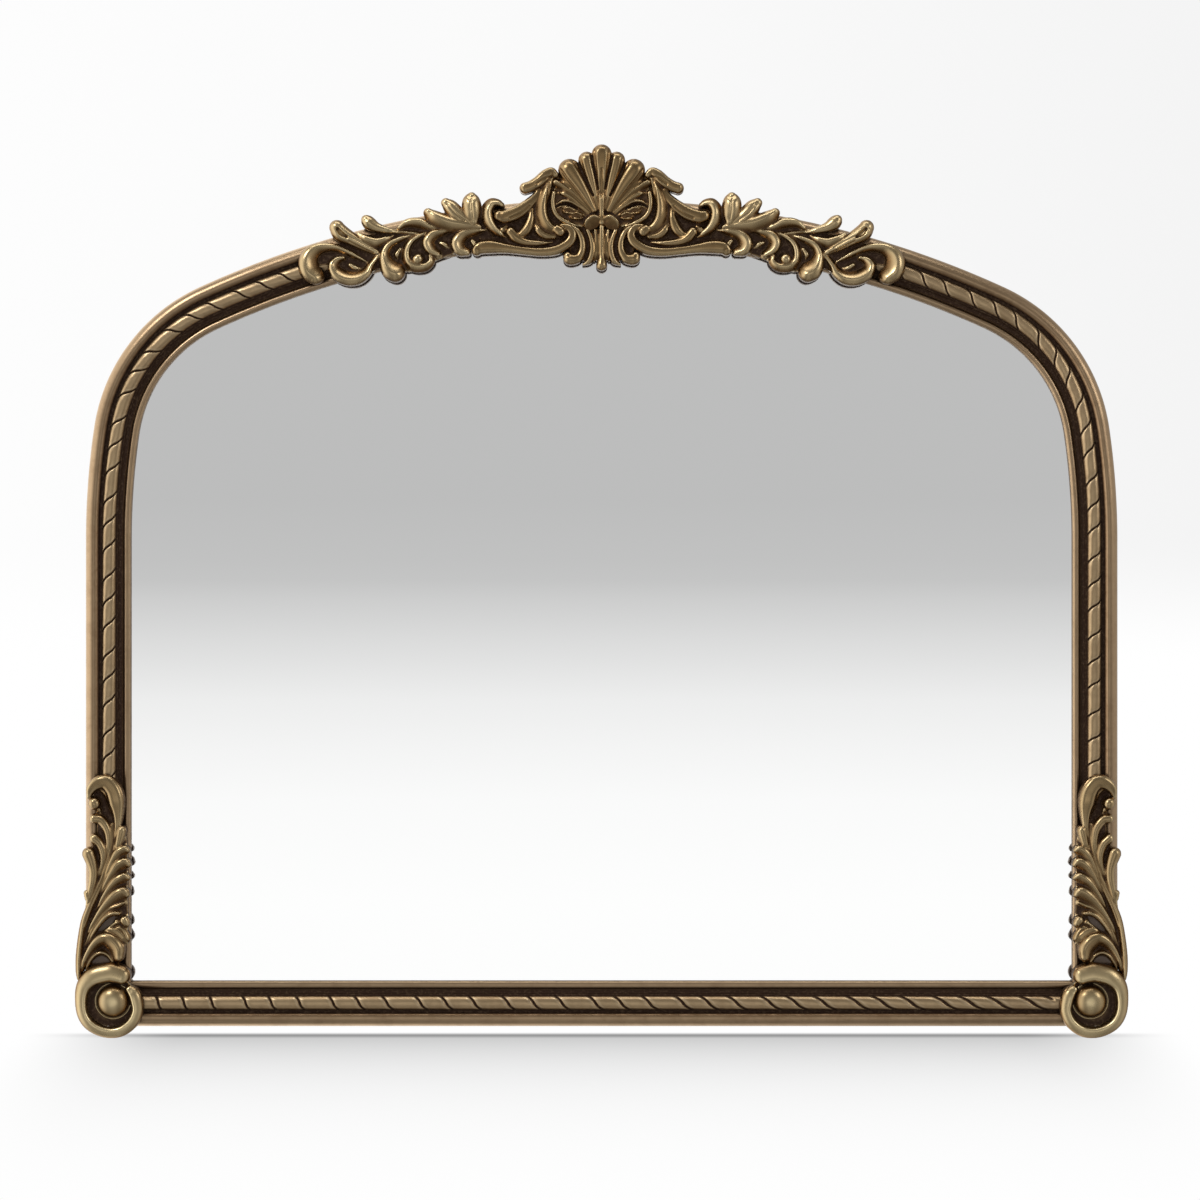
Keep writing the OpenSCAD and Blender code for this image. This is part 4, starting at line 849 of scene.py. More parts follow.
# Climbing corner leaves over the volutes
leafPieces = {
    "fuller": 1.08,
    "polish": 0.2,
    "strokes": [
        ("band", 1.6, [[4.9, 223.2, 1.9], [7.4, 231.4, 4.6], [14.6, 237.4, 6.2], [22.3, 237.4, 7],
            [28.7, 230, 7.4], [31.6, 220.3, 7.4], [33, 210.7, 5.4], [33.2, 201, 3.7], [32, 189.4, 2.5],
            [29.1, 177.8, 2.1]]),
        ("ridge", 1.4, [[6.3, 227.7, 1.5], [12.7, 232, 1.7], [19.8, 227.7, 1.9], [23.9, 219.4, 1.9],
            [26.8, 210.3, 1.7], [28.7, 201, 1.5]]),
        ("round", 1.8, [[10.1, 217.4, 5.6], [10.5, 216.9, 5.6]]),
        ("round", 0, [[14, 211.6, 2.7], [16.5, 206.4, 1.9]]),
        ("round", 1, [[9.8, 202.5, 4.3], [16.5, 201, 4.3], [22.3, 193.2, 4.3], [24.3, 183.6, 3.7],
            [23.7, 172.9, 2.7], [21, 162.3, 1.9]]),
        ("round", 1, [[10.1, 183.2, 4.6], [15.6, 177.8, 4.3], [18.7, 169, 3.9], [18.3, 160.3, 2.9],
            [15.6, 150.7, 2.1], [11.7, 142, 1.7]]),
        ("round", 1.6, [[4.9, 168.5, 6], [7.4, 161.3, 5.4], [9.4, 152.6, 4.6], [9, 142.9, 4.3],
            [7, 134.2, 3.5], [5.1, 125.5, 2.7], [2, 115.8, 2.3]]),
        ("round", 1, [[3.4, 130.3, 3.3], [3.9, 125.5, 2.9]]),
        ("ridge", 1.6, [[27.6, 197.1, 1.7], [27.6, 185.5, 2.1], [25.6, 172.9, 2.1], [22.5, 160.3, 2.1],
            [17.9, 146.8, 2.1], [12.1, 133.2, 2.1], [5.9, 119.7, 2.3], [0.1, 104.2, 2.5], [-2.8, 86.8, 2.9],
            [-4.6, 69.4, 3], [-5, 55.8, 2.7], [-4.6, 48.1, 1.9], [-3.6, 42.3, 1.2]]),
        ("ridge", 1.2, [[31, 187.4, 1.5], [30.1, 175.8, 1.9], [27.6, 164.2, 1.9], [23.3, 152.6, 1.9],
            [17.9, 140, 1.9], [11.7, 126.5, 1.9], [5.9, 113.9, 1.9], [0.5, 98.4, 1.9], [-3, 82.9, 1.9]]),
        ("ridge", 0.8, [[21, 197.1, 1.5], [21.8, 187.4, 1.7], [21.4, 177.8, 1.7], [19.8, 166.1, 1.7],
            [16.7, 154.5, 1.7], [12.8, 142.9, 1.7]]),
        ("round", 1.4, [[36.5, 190.9, 4.5], [35.3, 185.5, 4.3], [33.4, 177.8, 3.5], [31, 170, 2.5]]),
        ("swellLeft", 0.8, [[41.5, 171.6, 3.1], [38.4, 172.3, 4.6], [33, 168.5, 5.2], [27.9, 160.3, 4.3],
            [23.3, 149.7, 3.1], [18.3, 139.1, 2.1]]),
        ("swellLeft", 0.8, [[42.4, 158, 3.1], [39.2, 160, 5], [33.4, 156.9, 5.8], [27.6, 149.1, 4.6],
            [21.8, 139.4, 3.3], [15.6, 128.4, 2.1]]),
        ("swellLeft", 0.8, [[42.4, 144.9, 2.7], [38.4, 146, 4.6], [32.2, 142.1, 5.4], [25.6, 135.2, 4.3],
            [19, 125.5, 3.1], [11.7, 113.9, 2.1]]),
        ("swellLeft", 0.8, [[40.6, 129, 3.9], [37.2, 130.9, 6.2], [30.7, 127.4, 6.4], [23.3, 120.7, 5],
            [15.6, 111, 3.7], [8.2, 99.4, 2.5], [2, 87.8, 1.9]]),
        ("ridge", 0.8, [[38.8, 121.2, 1.7], [33, 118.5, 2.5], [25.2, 115.4, 2.7], [17.9, 108.9, 2.5],
            [10.9, 99.4, 2.3], [5.1, 88.7, 2.1], [0.1, 77.1, 1.9]]),
        ("ridge", 1.6, [[33.4, 110.8, 2.3], [27.6, 110.8, 2.9], [21, 107.3, 2.9], [14.8, 100, 2.5],
            [9, 91.1, 2.3], [3.6, 81, 2.1]]),
        ("ridge", 0.8, [[31.4, 103.8, 1.5], [25.6, 98.4, 1.7], [19.8, 93, 1.9], [14, 88, 1.7]]),
        ("round", 1.2, [[39.2, 104.2, 4.3], [41.2, 100.7, 3.5], [40.6, 96.5, 1.9]]),
        ("ridge", 0.8, [[26.8, 98.4, 1.5], [32, 101.9, 2.1], [36.8, 101.3, 1.9]]),
        ("ridge", 0.8, [[29.1, 95.5, 1.5], [34.5, 96.9, 2.1], [39.2, 93.6, 2.3], [42.4, 86.8, 2.9],
            [42.4, 82.9, 2.3]]),
        ("band", 0.8, [[19.8, 92.2, 1.9], [26.2, 94.5, 2.7], [33, 92.2, 3.1], [38.4, 86.8, 2.9],
            [41.9, 81.4, 2.3]]),
        ("swellLeft", 1.8, [[33, 69.8, 5.8], [32.2, 77.1, 7.4], [26.8, 83.9, 7.4], [19.8, 86.4, 6.2],
            [12.7, 82.9, 5], [6.3, 75.2, 3.9], [0.8, 64.5, 2.9], [-1.9, 53.9, 2.3]]),
        ("ridge", 0.6, [[27.6, 64.5, 1.9], [23.3, 70.3, 2.1], [16.5, 72.9, 2.3], [10.1, 69.8, 2.3],
            [5.1, 63.2, 2.1], [1.6, 54.9, 1.9]]),
    ],
    "bare": [
        [[13.6, 94.5], [18.5, 101.3], [24.5, 106.5], [30.3, 108.1], [28.7, 101.9], [22.9, 97.2],
            [17.1, 93.4]],
        [[7.4, 62.8], [11.7, 67.8], [17.1, 69.8], [22.5, 67.4], [25.2, 62.8], [16.7, 61.2]],
    ],
    "ground": [[8, 222], [17, 234], [30, 228], [34, 200], [40, 188], [42, 165], [42, 130], [42, 92],
        [35, 64], [19, 58], [-1, 64], [-3, 80], [1, 105], [7, 135], [7, 170], [12, 190], [11, 210]],
}
bothSides("Leaf", castRelief(leafPieces, onCorner, seatOnCorner), "leaf")
print("corner leaves made")

# Volutes: a ring that thins as it turns round the boss, on a round floor
volute = {"polish": 0.55, "height": 29.7, "floorAt": [26.6, 25.6], "floorRadius": 24.4, "floorPoints": 24}
volute["strokes"] = [
    ("slope", 1.4, [[36.5, 51, 9], [30, 53, 9.6], [23.2, 53.6, 9.8], [9.2, 49.8, 9.4], [0.4, 40.6, 7.6],
                    [-2.4, 27.3, 6.2], [-0.5, 12.8, 5.8], [6.8, 2.4, 5.6], [20.4, -4, 5.4], [35.2, -3.2, 5.6],
                    [46.8, 5, 5.6], [52, 16.7, 5.6], [51, 26.5, 6.2], [48.5, 33, 5.8], [44.5, 37.5, 4]]),
]
volute["ground"] = [polar(volute["floorAt"], volute["floorRadius"], 360 * i / volute["floorPoints"])
                    for i in range(volute["floorPoints"])]
bothSides("Volute", castRelief(volute, onCorner, seatOnCorner), "volute", polishedBrass)

# Bosses: a dome with a fine ring at its foot
boss = {"at": [28.0, 25.8], "radius": 17.7, "foot": 29.5, "rise": 12.8, "domeFoot": 0.4, "gap": 0.5,
        "ringWidth": 1.1, "ringTop": 1.4, "turns": 96}


# Rings of points about the y axis, one for each (radius, height)
def turnedPoints(section, turns):
    a = np.linspace(0, fullTurn, turns, endpoint=False)
    rings = [np.stack([r * np.cos(a), np.full(turns, h), r * np.sin(a)], 1) for r, h in section]
    return np.vstack(rings)


# Faces over such rings, which a point closes at the tip and another at the foot
def turnedFaces(rings, turns):
    i = np.arange(turns)
    k = (i + 1) % turns
    j = np.arange(rings - 1)[:, None] * turns
    quads = np.stack([j + i, j + k, j + turns + k, j + turns + i], 2).reshape(-1, 4)
    last = (rings - 1) * turns
    tip = np.stack([k, i, np.full(turns, rings * turns)], 1)
    foot = np.stack([last + i, last + k, np.full(turns, rings * turns + 1)], 1)
    return [quads, tip, foot]


def bossMesh(name, side):
    b = boss
    dome = b["radius"] - b["ringWidth"] - b["gap"]
    section = [[dome * math.cos(a) ** 0.8, b["domeFoot"] + b["rise"] * math.sin(a)]
               for a in np.linspace(math.pi / 2, 0, 22)[1:-1]]
    section.append([dome, b["domeFoot"]])
    for a in np.linspace(math.pi, 0, 7):
        section.append([b["radius"] - b["ringWidth"] * (1 - math.cos(a)) / 2,
                        b["ringTop"] * (0.5 + 0.5 * math.sin(a))])
    section.append([b["radius"], 0.0])
    points = np.vstack([turnedPoints(section, b["turns"]), [[0, b["domeFoot"] + b["rise"], 0], [0, 0, 0]]])
    radius = np.hypot(points[:, 0], points[:, 2])
    ring = np.clip(1.4 - np.abs(radius - b["radius"] + b["ringWidth"] * 0.5) / b["ringWidth"], 0, 1)
    # Tones of the boss: painted shade darkening the dome towards its foot, painted highlights on the dome's
    # middle and on the ring, and glaze in the groove between them
    values = {"hollow": np.clip(1 - np.abs(radius - dome - 0.1) / 0.9, 0, 1) * (1 - ring),
              "shade": np.clip((radius - dome * 0.5) / (dome * 0.5), 0, 1) * 0.8 * (1 - ring),
              "worn": np.maximum(np.clip(1.35 - 1.6 * radius / dome, 0, 1) * 0.8, ring)}
    middle = np.array([side * (outline["halfWidth"] - b["at"][0]), b["foot"], b["at"][1]])
    faces = [face[:, ::-1] for face in turnedFaces(len(section), b["turns"])]
    return makeMesh(name, points + middle, faces, values)


for sideName, side in (("left", -1), ("right", 1)):
    name = sideName + "Boss"
    makePiece(name, bossMesh(name, side), polishedBrass, [sideName + "_boss"])
print("volutes and bosses made")

# Stations of a path up the right-hand side to the crown, in even steps along its middle line. Each
# has its place on the outer edge, the way in from it, and its distance from the bottom edge
def sideStations(steps, step, middle):
    lo = outline
    rows = [[lo["halfWidth"], z, -1.0, 0.0, z] for z in steps if z < lo["springing"]]
    arcs = [(haunchCentre, lo["haunchRadius"], 0.0, lo["haunchAngle"]),
            (shoulderCentre, lo["shoulderRadius"], lo["haunchAngle"], crownStart),
            (crownCentre, crownRadius, crownStart, 90.0)]
    run = lo["springing"]
    for centre, radius, start, end in arcs:
        long = math.radians(end - start) * (radius - middle)
        count = max(2, int(round(long / step)))
        for i in range(count):
            a = start + (end - start) * i / count
            way = math.radians(a)
            rows.append([*polar(centre, radius, a), -math.cos(way), -math.sin(way), run + long * i / count])
        run += long
    rows.append([0.0, crownCentre[1] + crownRadius, 0.0, -1.0, run])
    return np.array(rows)


def lineObject(name, places, closed, values):
    mesh = bpy.data.meshes.new(name)
    n = len(places)
    edges = [(i, i + 1) for i in range(n - 1)] + ([(n - 1, 0)] if closed else [])
    mesh.from_pydata(places.tolist(), edges, [])
    addValues(mesh, values)
    return newObject(name, mesh)


def pathObject(name, stations, closed, values):
    level = np.zeros(len(stations))
    spots = np.stack([stations[:, 0] * mm, level, (stations[:, 1] + bottomEdge) * mm], 1)
    inward = np.stack([stations[:, 2], level, stations[:, 3]], 1)
    return lineObject(name, spots, closed, {"spot": spots, "inward": inward, **values})


# A section's points are [in from the outer edge, height above the wall, hollow, shade, worn]
def sectionObject(name, points):
    p = np.array(points, float)
    across, high = p[:, 0] * mm, p[:, 1] * mm
    values = {"across": across, "high": high, "hollow": p[:, 2], "shade": p[:, 3], "worn": p[:, 4]}
    return lineObject(name, np.stack([across, high, np.zeros(len(p))], 1), True, values)


def newGrowth(name, inputs):
    tree = bpy.data.node_groups.new(name, "GeometryNodeTree")
    inputs = {"Geometry": "Geometry", **inputs, "Material": "Material"}
    for label, kind in inputs.items():
        tree.interface.new_socket(label, in_out="INPUT", socket_type="NodeSocket" + kind)
    tree.interface.new_socket("Geometry", in_out="OUTPUT", socket_type="NodeSocketGeometry")
    board = Board(tree)
    entry = board.add("NodeGroupInput", output=None)
    return board, {label: Wire(board, entry.outputs[label]) for label in inputs}


def namedValue(board, name, kind="FLOAT"):
    return board.add("GeometryNodeInputNamedAttribute", {"data_type": kind}, {"Name": name})


def storeValue(board, geometry, name, value):
    settings = {"data_type": "FLOAT", "domain": "POINT"}
    inputs = {"Geometry": geometry, "Name": name, "Value": value}
    return board.add("GeometryNodeStoreNamedAttribute", settings, inputs)


def endGrowth(board, geometry, material):
    real = board.add("GeometryNodeRealizeInstances", None, {"Geometry": geometry})
    dressed = board.add("GeometryNodeSetMaterial", None, {"Geometry": real, "Material": material})
    board.add("NodeGroupOutput", None, {0: dressed}, None)


# The sweep itself: every section point goes in from the path's outer edge and up from the wall
def sweepAlong(board, wires):
    path = board.add("GeometryNodeMeshToCurve", None, {"Mesh": wires["Geometry"]})
    shown = board.add("GeometryNodeObjectInfo", None, {"Object": wires["Section"]}, "Geometry")
    section = board.add("GeometryNodeMeshToCurve", None, {"Mesh": shown})
    return board.add("GeometryNodeCurveToMesh", None, {"Curve": path, "Profile Curve": section})


def sweptPlace(board, swept, high):
    spot = namedValue(board, "spot", "FLOAT_VECTOR")
    inward = namedValue(board, "inward", "FLOAT_VECTOR")
    inputs = {0: inward, "Scale": namedValue(board, "across")}
    reach = board.add("ShaderNodeVectorMath", {"operation": "SCALE"}, inputs)
    lift = board.combine(0.0, -high, 0.0)
    for way in (reach, lift):
        spot = board.add("ShaderNodeVectorMath", {"operation": "ADD"}, {0: spot, 1: way})
    return board.add("GeometryNodeSetPosition", None, {"Geometry": swept, "Position": spot})


def growPiece(name, source, tree, values):
    grow = source.modifiers.new("grow", "NODES")
    grow.node_group = tree
    for item in tree.interface.items_tree:
        if item.in_out == "INPUT" and item.name in values:
            grow[item.identifier] = values[item.name]
    bpy.context.view_layer.update()
    depsgraph = bpy.context.evaluated_depsgraph_get()
    mesh = bpy.data.meshes.new_from_object(source.evaluated_get(depsgraph), preserve_all_data_layers=True,
                                           depsgraph=depsgraph)
    mesh.name = name
    source.modifiers.remove(grow)
    bpy.data.objects.remove(source)
    return mesh


# Turns a closed mesh right side out, by the sign of its volume
def outwards(mesh, sharp=40):
    mesh.calc_loop_triangles()
    co = np.empty(len(mesh.vertices) * 3)
    mesh.vertices.foreach_get("co", co)
    tri = np.empty(len(mesh.loop_triangles) * 3, np.int32)
    mesh.loop_triangles.foreach_get("vertices", tri)
    corners = co.reshape(-1, 3)[tri].reshape(-1, 3, 3)
    volume = np.einsum("ij,ij->i", corners[:, 0], np.cross(corners[:, 1], corners[:, 2])).sum()
    if volume < 0:
        mesh.flip_normals()
    mesh.polygons.foreach_set("use_smooth", [True] * len(mesh.polygons))
    mesh.set_sharp_from_angle(angle=math.radians(sharp))


# Close the open ends of a swept strip
def closeEnds(mesh):
    work = bmesh.new()
    work.from_mesh(mesh)
    bmesh.ops.holes_fill(work, edges=[edge for edge in work.edges if edge.is_boundary], sides=0)
    work.to_mesh(mesh)
    work.free()


# Frame moulding: bead, groove, rope seat, hollow and lip, with the rebate behind
def roundCorner(centre, radius, start, end, count, tones, lastTones=None):
    first, last = np.array(tones), np.array(lastTones or tones)
    return [[*polar(centre, radius, start + (end - start) * share), *(first + (last - first) * share)]
            for share in np.linspace(0, 1, count)]


def mouldingSection():
    m = moulding
    bead, lip, ease = m["beadRadius"], m["lipWidth"] / 2, 0.9
    beadSpring, lipSpring = m["beadTop"] - bead, m["lipTop"] - lip
    cove = (m["lipFrom"] - m["coveFrom"] - 1.4) / 2
    coveMiddle = (m["coveFrom"] + 1.2 + cove, m["coveFloor"] + cove)
    # Tones across the profile: painted highlights on the bead's outer rounding and on the lip; painted shade
    # growing across the bead towards the groove, in the cove and over the rebate and back; glaze in the
    # groove and cove, thinning towards the lip
    return [
        [0, backFace + 0.8, 0.2, 0.5, 0], [0, beadSpring, 0, 0.2, 0],
        *roundCorner((bead, beadSpring), bead, 180, 92, 12, (0, 0, 0.5), (0, 0.06, 0.1))[1:],
        [10.0, m["beadTop"] - 0.2, 0, 0.16, 0], [11.0, m["beadTop"] - 0.7, 0.05, 0.34, 0],
        [11.8, m["beadTop"] - 1.4, 0.12, 0.5, 0],
        *roundCorner((m["beadWidth"] - ease, m["beadTop"] - 2.0 - ease), ease, 60, 0, 4, (0.4, 0.7, 0)),
        [m["beadWidth"], m["grooveFloor"] + 0.8, 1, 1, 0], [m["beadWidth"] + 0.6, m["grooveFloor"], 1, 1, 0],
        [m["ropeFrom"], m["grooveFloor"], 1, 1, 0], [m["ropeFrom"], m["ropeSeat"], 1, 1, 0],
        [m["coveFrom"], m["ropeSeat"], 1, 1, 0], [m["coveFrom"], m["grooveFloor"], 1, 1, 0],
        [m["coveFrom"] + 0.9, m["grooveFloor"] - 0.2, 0.9, 1, 0],
        *roundCorner(coveMiddle, cove, 180, 350, 9, (1, 1, 0), (0.35, 0.6, 0)),
        [m["lipFrom"] + 0.02, lipSpring, 0.25, 0.45, 0],
        *roundCorner((m["lipFrom"] + lip, lipSpring), lip, 168, 12, 12, (0, 0.12, 0.15), (0, 0, 0.3)),
        [mouldingWidth, lipSpring, 0, 0.15, 0.1], [mouldingWidth, m["glassFront"] + 0.35, 0.3, 0.6, 0],
        [mouldingWidth - 0.4, m["glassFront"], 0.6, 0.9, 0],
        [m["rebateFrom"], m["glassFront"], 0.5, 0.9, 0], [m["rebateFrom"], backFace, 0.2, 0.6, 0],
        [0.8, backFace, 0.2, 0.5, 0],
    ]


cornerStation = np.array([[outline["halfWidth"], 0.0, -1.0, 1.0, 0.0]])
mirrorStation = np.array([-1, 1, -1, 1, 1])
board, wires = newGrowth("mouldingSweep", {"Section": "Object"})
endGrowth(board, sweptPlace(board, sweepAlong(board, wires), namedValue(board, "high")), wires["Material"])
right = np.vstack([cornerStation, sideStations(np.linspace(60, outline["springing"], 30), 5.0, 0.0)])
loop = pathObject("mouldingPath", np.vstack([right, right[-2::-1] * mirrorStation]), True, {})
section = sectionObject("mouldingSection", mouldingSection())
mesh = growPiece("frameMoulding", loop, board.tree, {"Section": section, "Material": mouldingBrass})
bpy.data.objects.remove(section)
outwards(mesh)
makePiece("frameMoulding", mesh, mouldingBrass,
          ["bottom_rail", "left_stile", "right_stile", "left_haunch", "right_haunch", "left_shoulder",
           "right_shoulder", "crown_rail"])
print("frame moulding made")

# Rope strips: three strokes repeat with short, middle and long spaces. Each stroke crosses the
# strip with its outer end further on by the lean, which grows along the strip
rope = {"cut": 2.1, "pillow": 0.6, "pillowReach": 5.2, "step": 0.62, "samples": 22, "flatness": 2.5,
        "sway": 0.07, "steepEnd": 200.0, "sideFade": (0.86, 1.0), "sideLoss": 0.7, "rimAt": 1.55,
        "rimHalf": 0.9, "cutDark": 1.3, "swellShade": 0.3, "rimHighlight": 0.9}
ropeStrips = {
    "right_rope": {"halfCut": 1.15, "first": 257.5, "period": 75.4, "second": 0.303, "third": 0.632,
                   "from": 232.0, "to": 870.0,
                   "lean": [[230, -9], [257, -9], [380, -13], [530, -16], [640, -19.4], [760, -17],
                            [1100, -16]]},
    "left_rope": {"halfCut": 1.15, "first": 264.0, "period": 75.3, "second": 0.303, "third": 0.684,
                  "from": 232.0, "to": 870.0,
                  "lean": [[230, 17.5], [640, 17], [760, 16.4], [1100, 16]]},
    "bottom_rope": {"halfCut": 1.7, "first": -429.7, "period": 84.8, "second": 0.295, "third": 0.617,
                    "from": -440.0, "to": 440.0,
                    "lean": [[-432, -6], [-300, -9], [-200, -13], [0, -16], [100, -20], [200, -24],
                             [400, -30]]},
}


def ropeSection():
    half = moulding["ropeWidth"] / 2 - 0.15
    base = moulding["ropeSeat"] + 0.15
    high = moulding["ropeTop"] - base
    p = []
    for v in np.linspace(-1, 1, rope["samples"]):
        v = math.sin(v * math.pi / 2) * 0.35 + v * 0.65
        side = abs(v) ** 9
        height = base + 0.6 + (high - 0.6) * max(0.0, 1 - abs(v) ** rope["flatness"]) ** 0.55
        # Painted shade grows towards the strip's sides; a painted highlight lies along its middle
        p.append([ropeMiddle + v * half, height, side, 0.1 + 0.8 * abs(v) ** 4, 0.2 * (1 - v * v)])
    p.append([ropeMiddle + half, base, 1, 1, 0])
    p.append([ropeMiddle - half, base, 1, 1, 0])
    return p


ropeInputs = ["First", "Period", "Second", "Third", "Cut", "Half Cut", "Pillow", "Pillow Reach", "Middle",
              "Width", "From", "To", "Sway"]
board, wires = newGrowth("ropeSweep", {"Section": "Object", **{label: "Float" for label in ropeInputs}})
swept = sweepAlong(board, wires)
run, lean, across = [namedValue(board, name) for name in ("run", "lean", "across")]
v = (across - wires["Middle"]) / wires["Width"]
bend = v - wires["Sway"] * (v * fullTurn).apply("SINE")
part = ((run - wires["First"] - lean * bend) / wires["Period"]).apply("FRACT")
gap = part.least(1.0 - part).least((part - wires["Second"]).size()).least((part - wires["Third"]).size())
slope = lean / wires["Width"]
gap = gap * wires["Period"] / (slope * slope + 1.0).apply("SQRT")
inRange = 1.0 - (v * 2.0).size().ramp(*rope["sideFade"]) * rope["sideLoss"]
for fromEnd in (run - wires["From"], wires["To"] - run):
    inRange = inRange * (fromEnd * rope["steepEnd"]).most(0.0).least(1.0)
cut = (1.0 - gap.ramp(0.0, wires["Half Cut"])) * inRange
swell = (1.0 - gap.ramp(0.0, wires["Pillow Reach"])) * inRange
toRim = (gap - wires["Half Cut"] * rope["rimAt"]).size() / (wires["Half Cut"] * rope["rimHalf"])
rim = (1.0 - toRim.least(1.0)) * inRange
high = namedValue(board, "high") - cut * wires["Cut"] - swell * wires["Pillow"]
placed = sweptPlace(board, swept, high)
# The cuts hold glaze; painted shade lies in the cuts and over each lay's swell beside them, and a painted
# highlight runs along each cut's edges
for name, value in (("hollow", cut * rope["cutDark"]), ("shade", cut.most(swell * rope["swellShade"])),
                    ("worn", rim * rope["rimHighlight"])):
    placed = storeValue(board, placed, name, namedValue(board, name).most(value))
endGrowth(board, placed, wires["Material"])
section = sectionObject("ropeSection", ropeSection())
for node, strip in ropeStrips.items():
    if node == "bottom_rope":
        half = outline["halfWidth"]
        stations = np.array([[-half, 0, 1, 1, -half],
                             *[[x, 0, 0, 1, x] for x in np.arange(-half + 60, half - 60, rope["step"])],
                             [half, 0, -1, 1, half]])
    else:
        zs = np.arange(60, outline["springing"], rope["step"])
        stations = np.vstack([cornerStation, sideStations(zs, rope["step"], ropeMiddle)])
        if node == "left_rope":
            stations = stations * mirrorStation
    leanAt, leanBy = np.array(strip["lean"], float).T
    run = stations[:, 4]
    leans = np.interp(run, leanAt, leanBy)
    path = pathObject("ropePath", stations, False, {"run": run * mm, "lean": leans * mm})
    lengths = {"First": strip["first"], "Period": strip["period"], "From": strip["from"], "To": strip["to"],
               "Cut": rope["cut"], "Half Cut": strip["halfCut"], "Pillow": rope["pillow"],
               "Pillow Reach": rope["pillowReach"], "Middle": ropeMiddle, "Width": moulding["ropeWidth"]}
    values = {label: length * mm for label, length in lengths.items()}
    values.update({"Section": section, "Material": ropeBrass, "Second": strip["second"],
                   "Third": strip["third"], "Sway": rope["sway"]})
    mesh = growPiece(node + "Twist", path, board.tree, values)
    closeEnds(mesh)
    outwards(mesh)
    makePiece(node + "Twist", mesh, ropeBrass, [node])
bpy.data.objects.remove(section)
print("rope strips made")

# Mirror glass: its own solid, silvered
glassFinish = {"silver": rgb(0.985, 0.988, 0.985), "haze": rgb(0.95, 0.96, 0.96), "rough": 0.004}
silveredGlass, board = newMaterial("silveredGlass")
haze = board.noise(board.objectPlace(), 3.0, 2.0)
board.principled({"Base Color": board.blend(haze * 0.05, glassFinish["silver"], glassFinish["haze"]),
                  "Metallic": 1.0, "Roughness": glassFinish["rough"]})


# Plain finishes behind the frame
def speckled(name, first, second, scale, metallic, rough, bump, stretch=(1.0, 1.0, 1.0)):
    material, board = newMaterial(name)
    place = board.add("ShaderNodeMapping", None, {"Vector": board.objectPlace(), "Scale": stretch})
    fine = board.noise(place, scale, 4.0, 0.6)
    wide = board.noise(place, scale * 0.08, 2.0)
    color = board.blend((fine * 0.6 + wide * 0.4).ramp(0.3, 0.7), first, second)
    board.principled({"Base Color": color, "Metallic": metallic, "Roughness": rough + (fine - 0.5) * 0.2,
                      "Normal": board.bump(fine, bump)})
    return material


zincSteel = speckled("zincSteel", rgb(0.55, 0.56, 0.57), rgb(0.70, 0.71, 0.71), 500.0, 1.0, 0.36, 0.08,
                     (1.0, 1.0, 0.15))
hangerBrass = speckled("hangerBrass", rgb(0.60, 0.42, 0.16), rgb(0.76, 0.58, 0.27), 420.0, 1.0, 0.28, 0.06)
padRubber = speckled("padRubber", rgb(0.018, 0.018, 0.018), rgb(0.035, 0.034, 0.033), 900.0, 0.0, 0.78, 0.25)
hardboard = speckled("hardboard", rgb(0.17, 0.088, 0.042), rgb(0.27, 0.15, 0.075), 620.0, 0.0, 0.72, 0.35)
foamWhite = speckled("foamWhite", rgb(0.78, 0.78, 0.76), rgb(0.86, 0.86, 0.84), 800.0, 0.0, 0.85, 0.2)
beech = speckled("beech", rgb(0.55, 0.36, 0.19), rgb(0.66, 0.47, 0.27), 260.0, 0.0, 0.6, 0.15,
                 (1.0, 1.0, 0.1))
nodeFinishes = [
    (silveredGlass, ["mirror_glass"]), (foamWhite, ["foam_sheet"]), (hardboard, ["backing_board"]),
    (padRubber, ["setting_blocks", "wall_pads"]), (beech, ["frame_dowels"]),
    (zincSteel, ["board_clips", "corner_braces", "joint_plates"]),
    (hangerBrass, ["left_hanger_strap", "right_hanger_strap", "left_d_ring", "right_d_ring"]),
]
for finish, nodes in nodeFinishes:
    for node in nodes:
        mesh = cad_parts[node].data
        mesh.materials.clear()
        mesh.materials.append(finish)
print("glass and back finished")

# Screws: a domed head with a cross recess, turned each its own way
screwHead = {"radius": 3.3, "rim": 0.35, "dome": 1.5, "recess": 1.25, "arm": 1.9, "armHalf": 0.42,
             "shank": 1.5, "shankLong": 10.5, "under": 1.8, "turns": 48, "rings": 9, "seed": 4, "sharp": 35}
screwNodes = ["clip_screws", "brace_screws", "hanger_screws"]


def screwMesh():
    s = screwHead
    radii = [*np.linspace(0.32, 0.92, s["rings"]) * s["radius"], s["radius"]]
    section = [[r, s["rim"] + s["dome"] * math.sqrt(max(0.0, 1 - (r / s["radius"]) ** 2))] for r in radii]
    section += [[s["radius"], 0.0], [s["shank"], 0.0], [s["shank"], -s["shankLong"]]]
    points = turnedPoints(section, s["turns"])
    wide = np.abs(points[:, [0, 2]])
    inHead = np.arange(len(points)) < len(radii) * s["turns"]
    within = (wide.max(1) < s["arm"]) & (np.hypot(*wide.T) < s["arm"])
    points[inHead & within & (wide.min(1) < s["armHalf"]), 1] -= s["recess"]
    points = np.vstack([points, [[0, s["rim"] + s["dome"] - s["recess"], 0], [0, -s["shankLong"], 0]]])
    faces = sum([face.tolist() for face in turnedFaces(len(section), s["turns"])], [])
    mesh = bpy.data.meshes.new("screw")
    mesh.from_pydata((points * mm).tolist(), [], faces)
    outwards(mesh, s["sharp"])
    return mesh


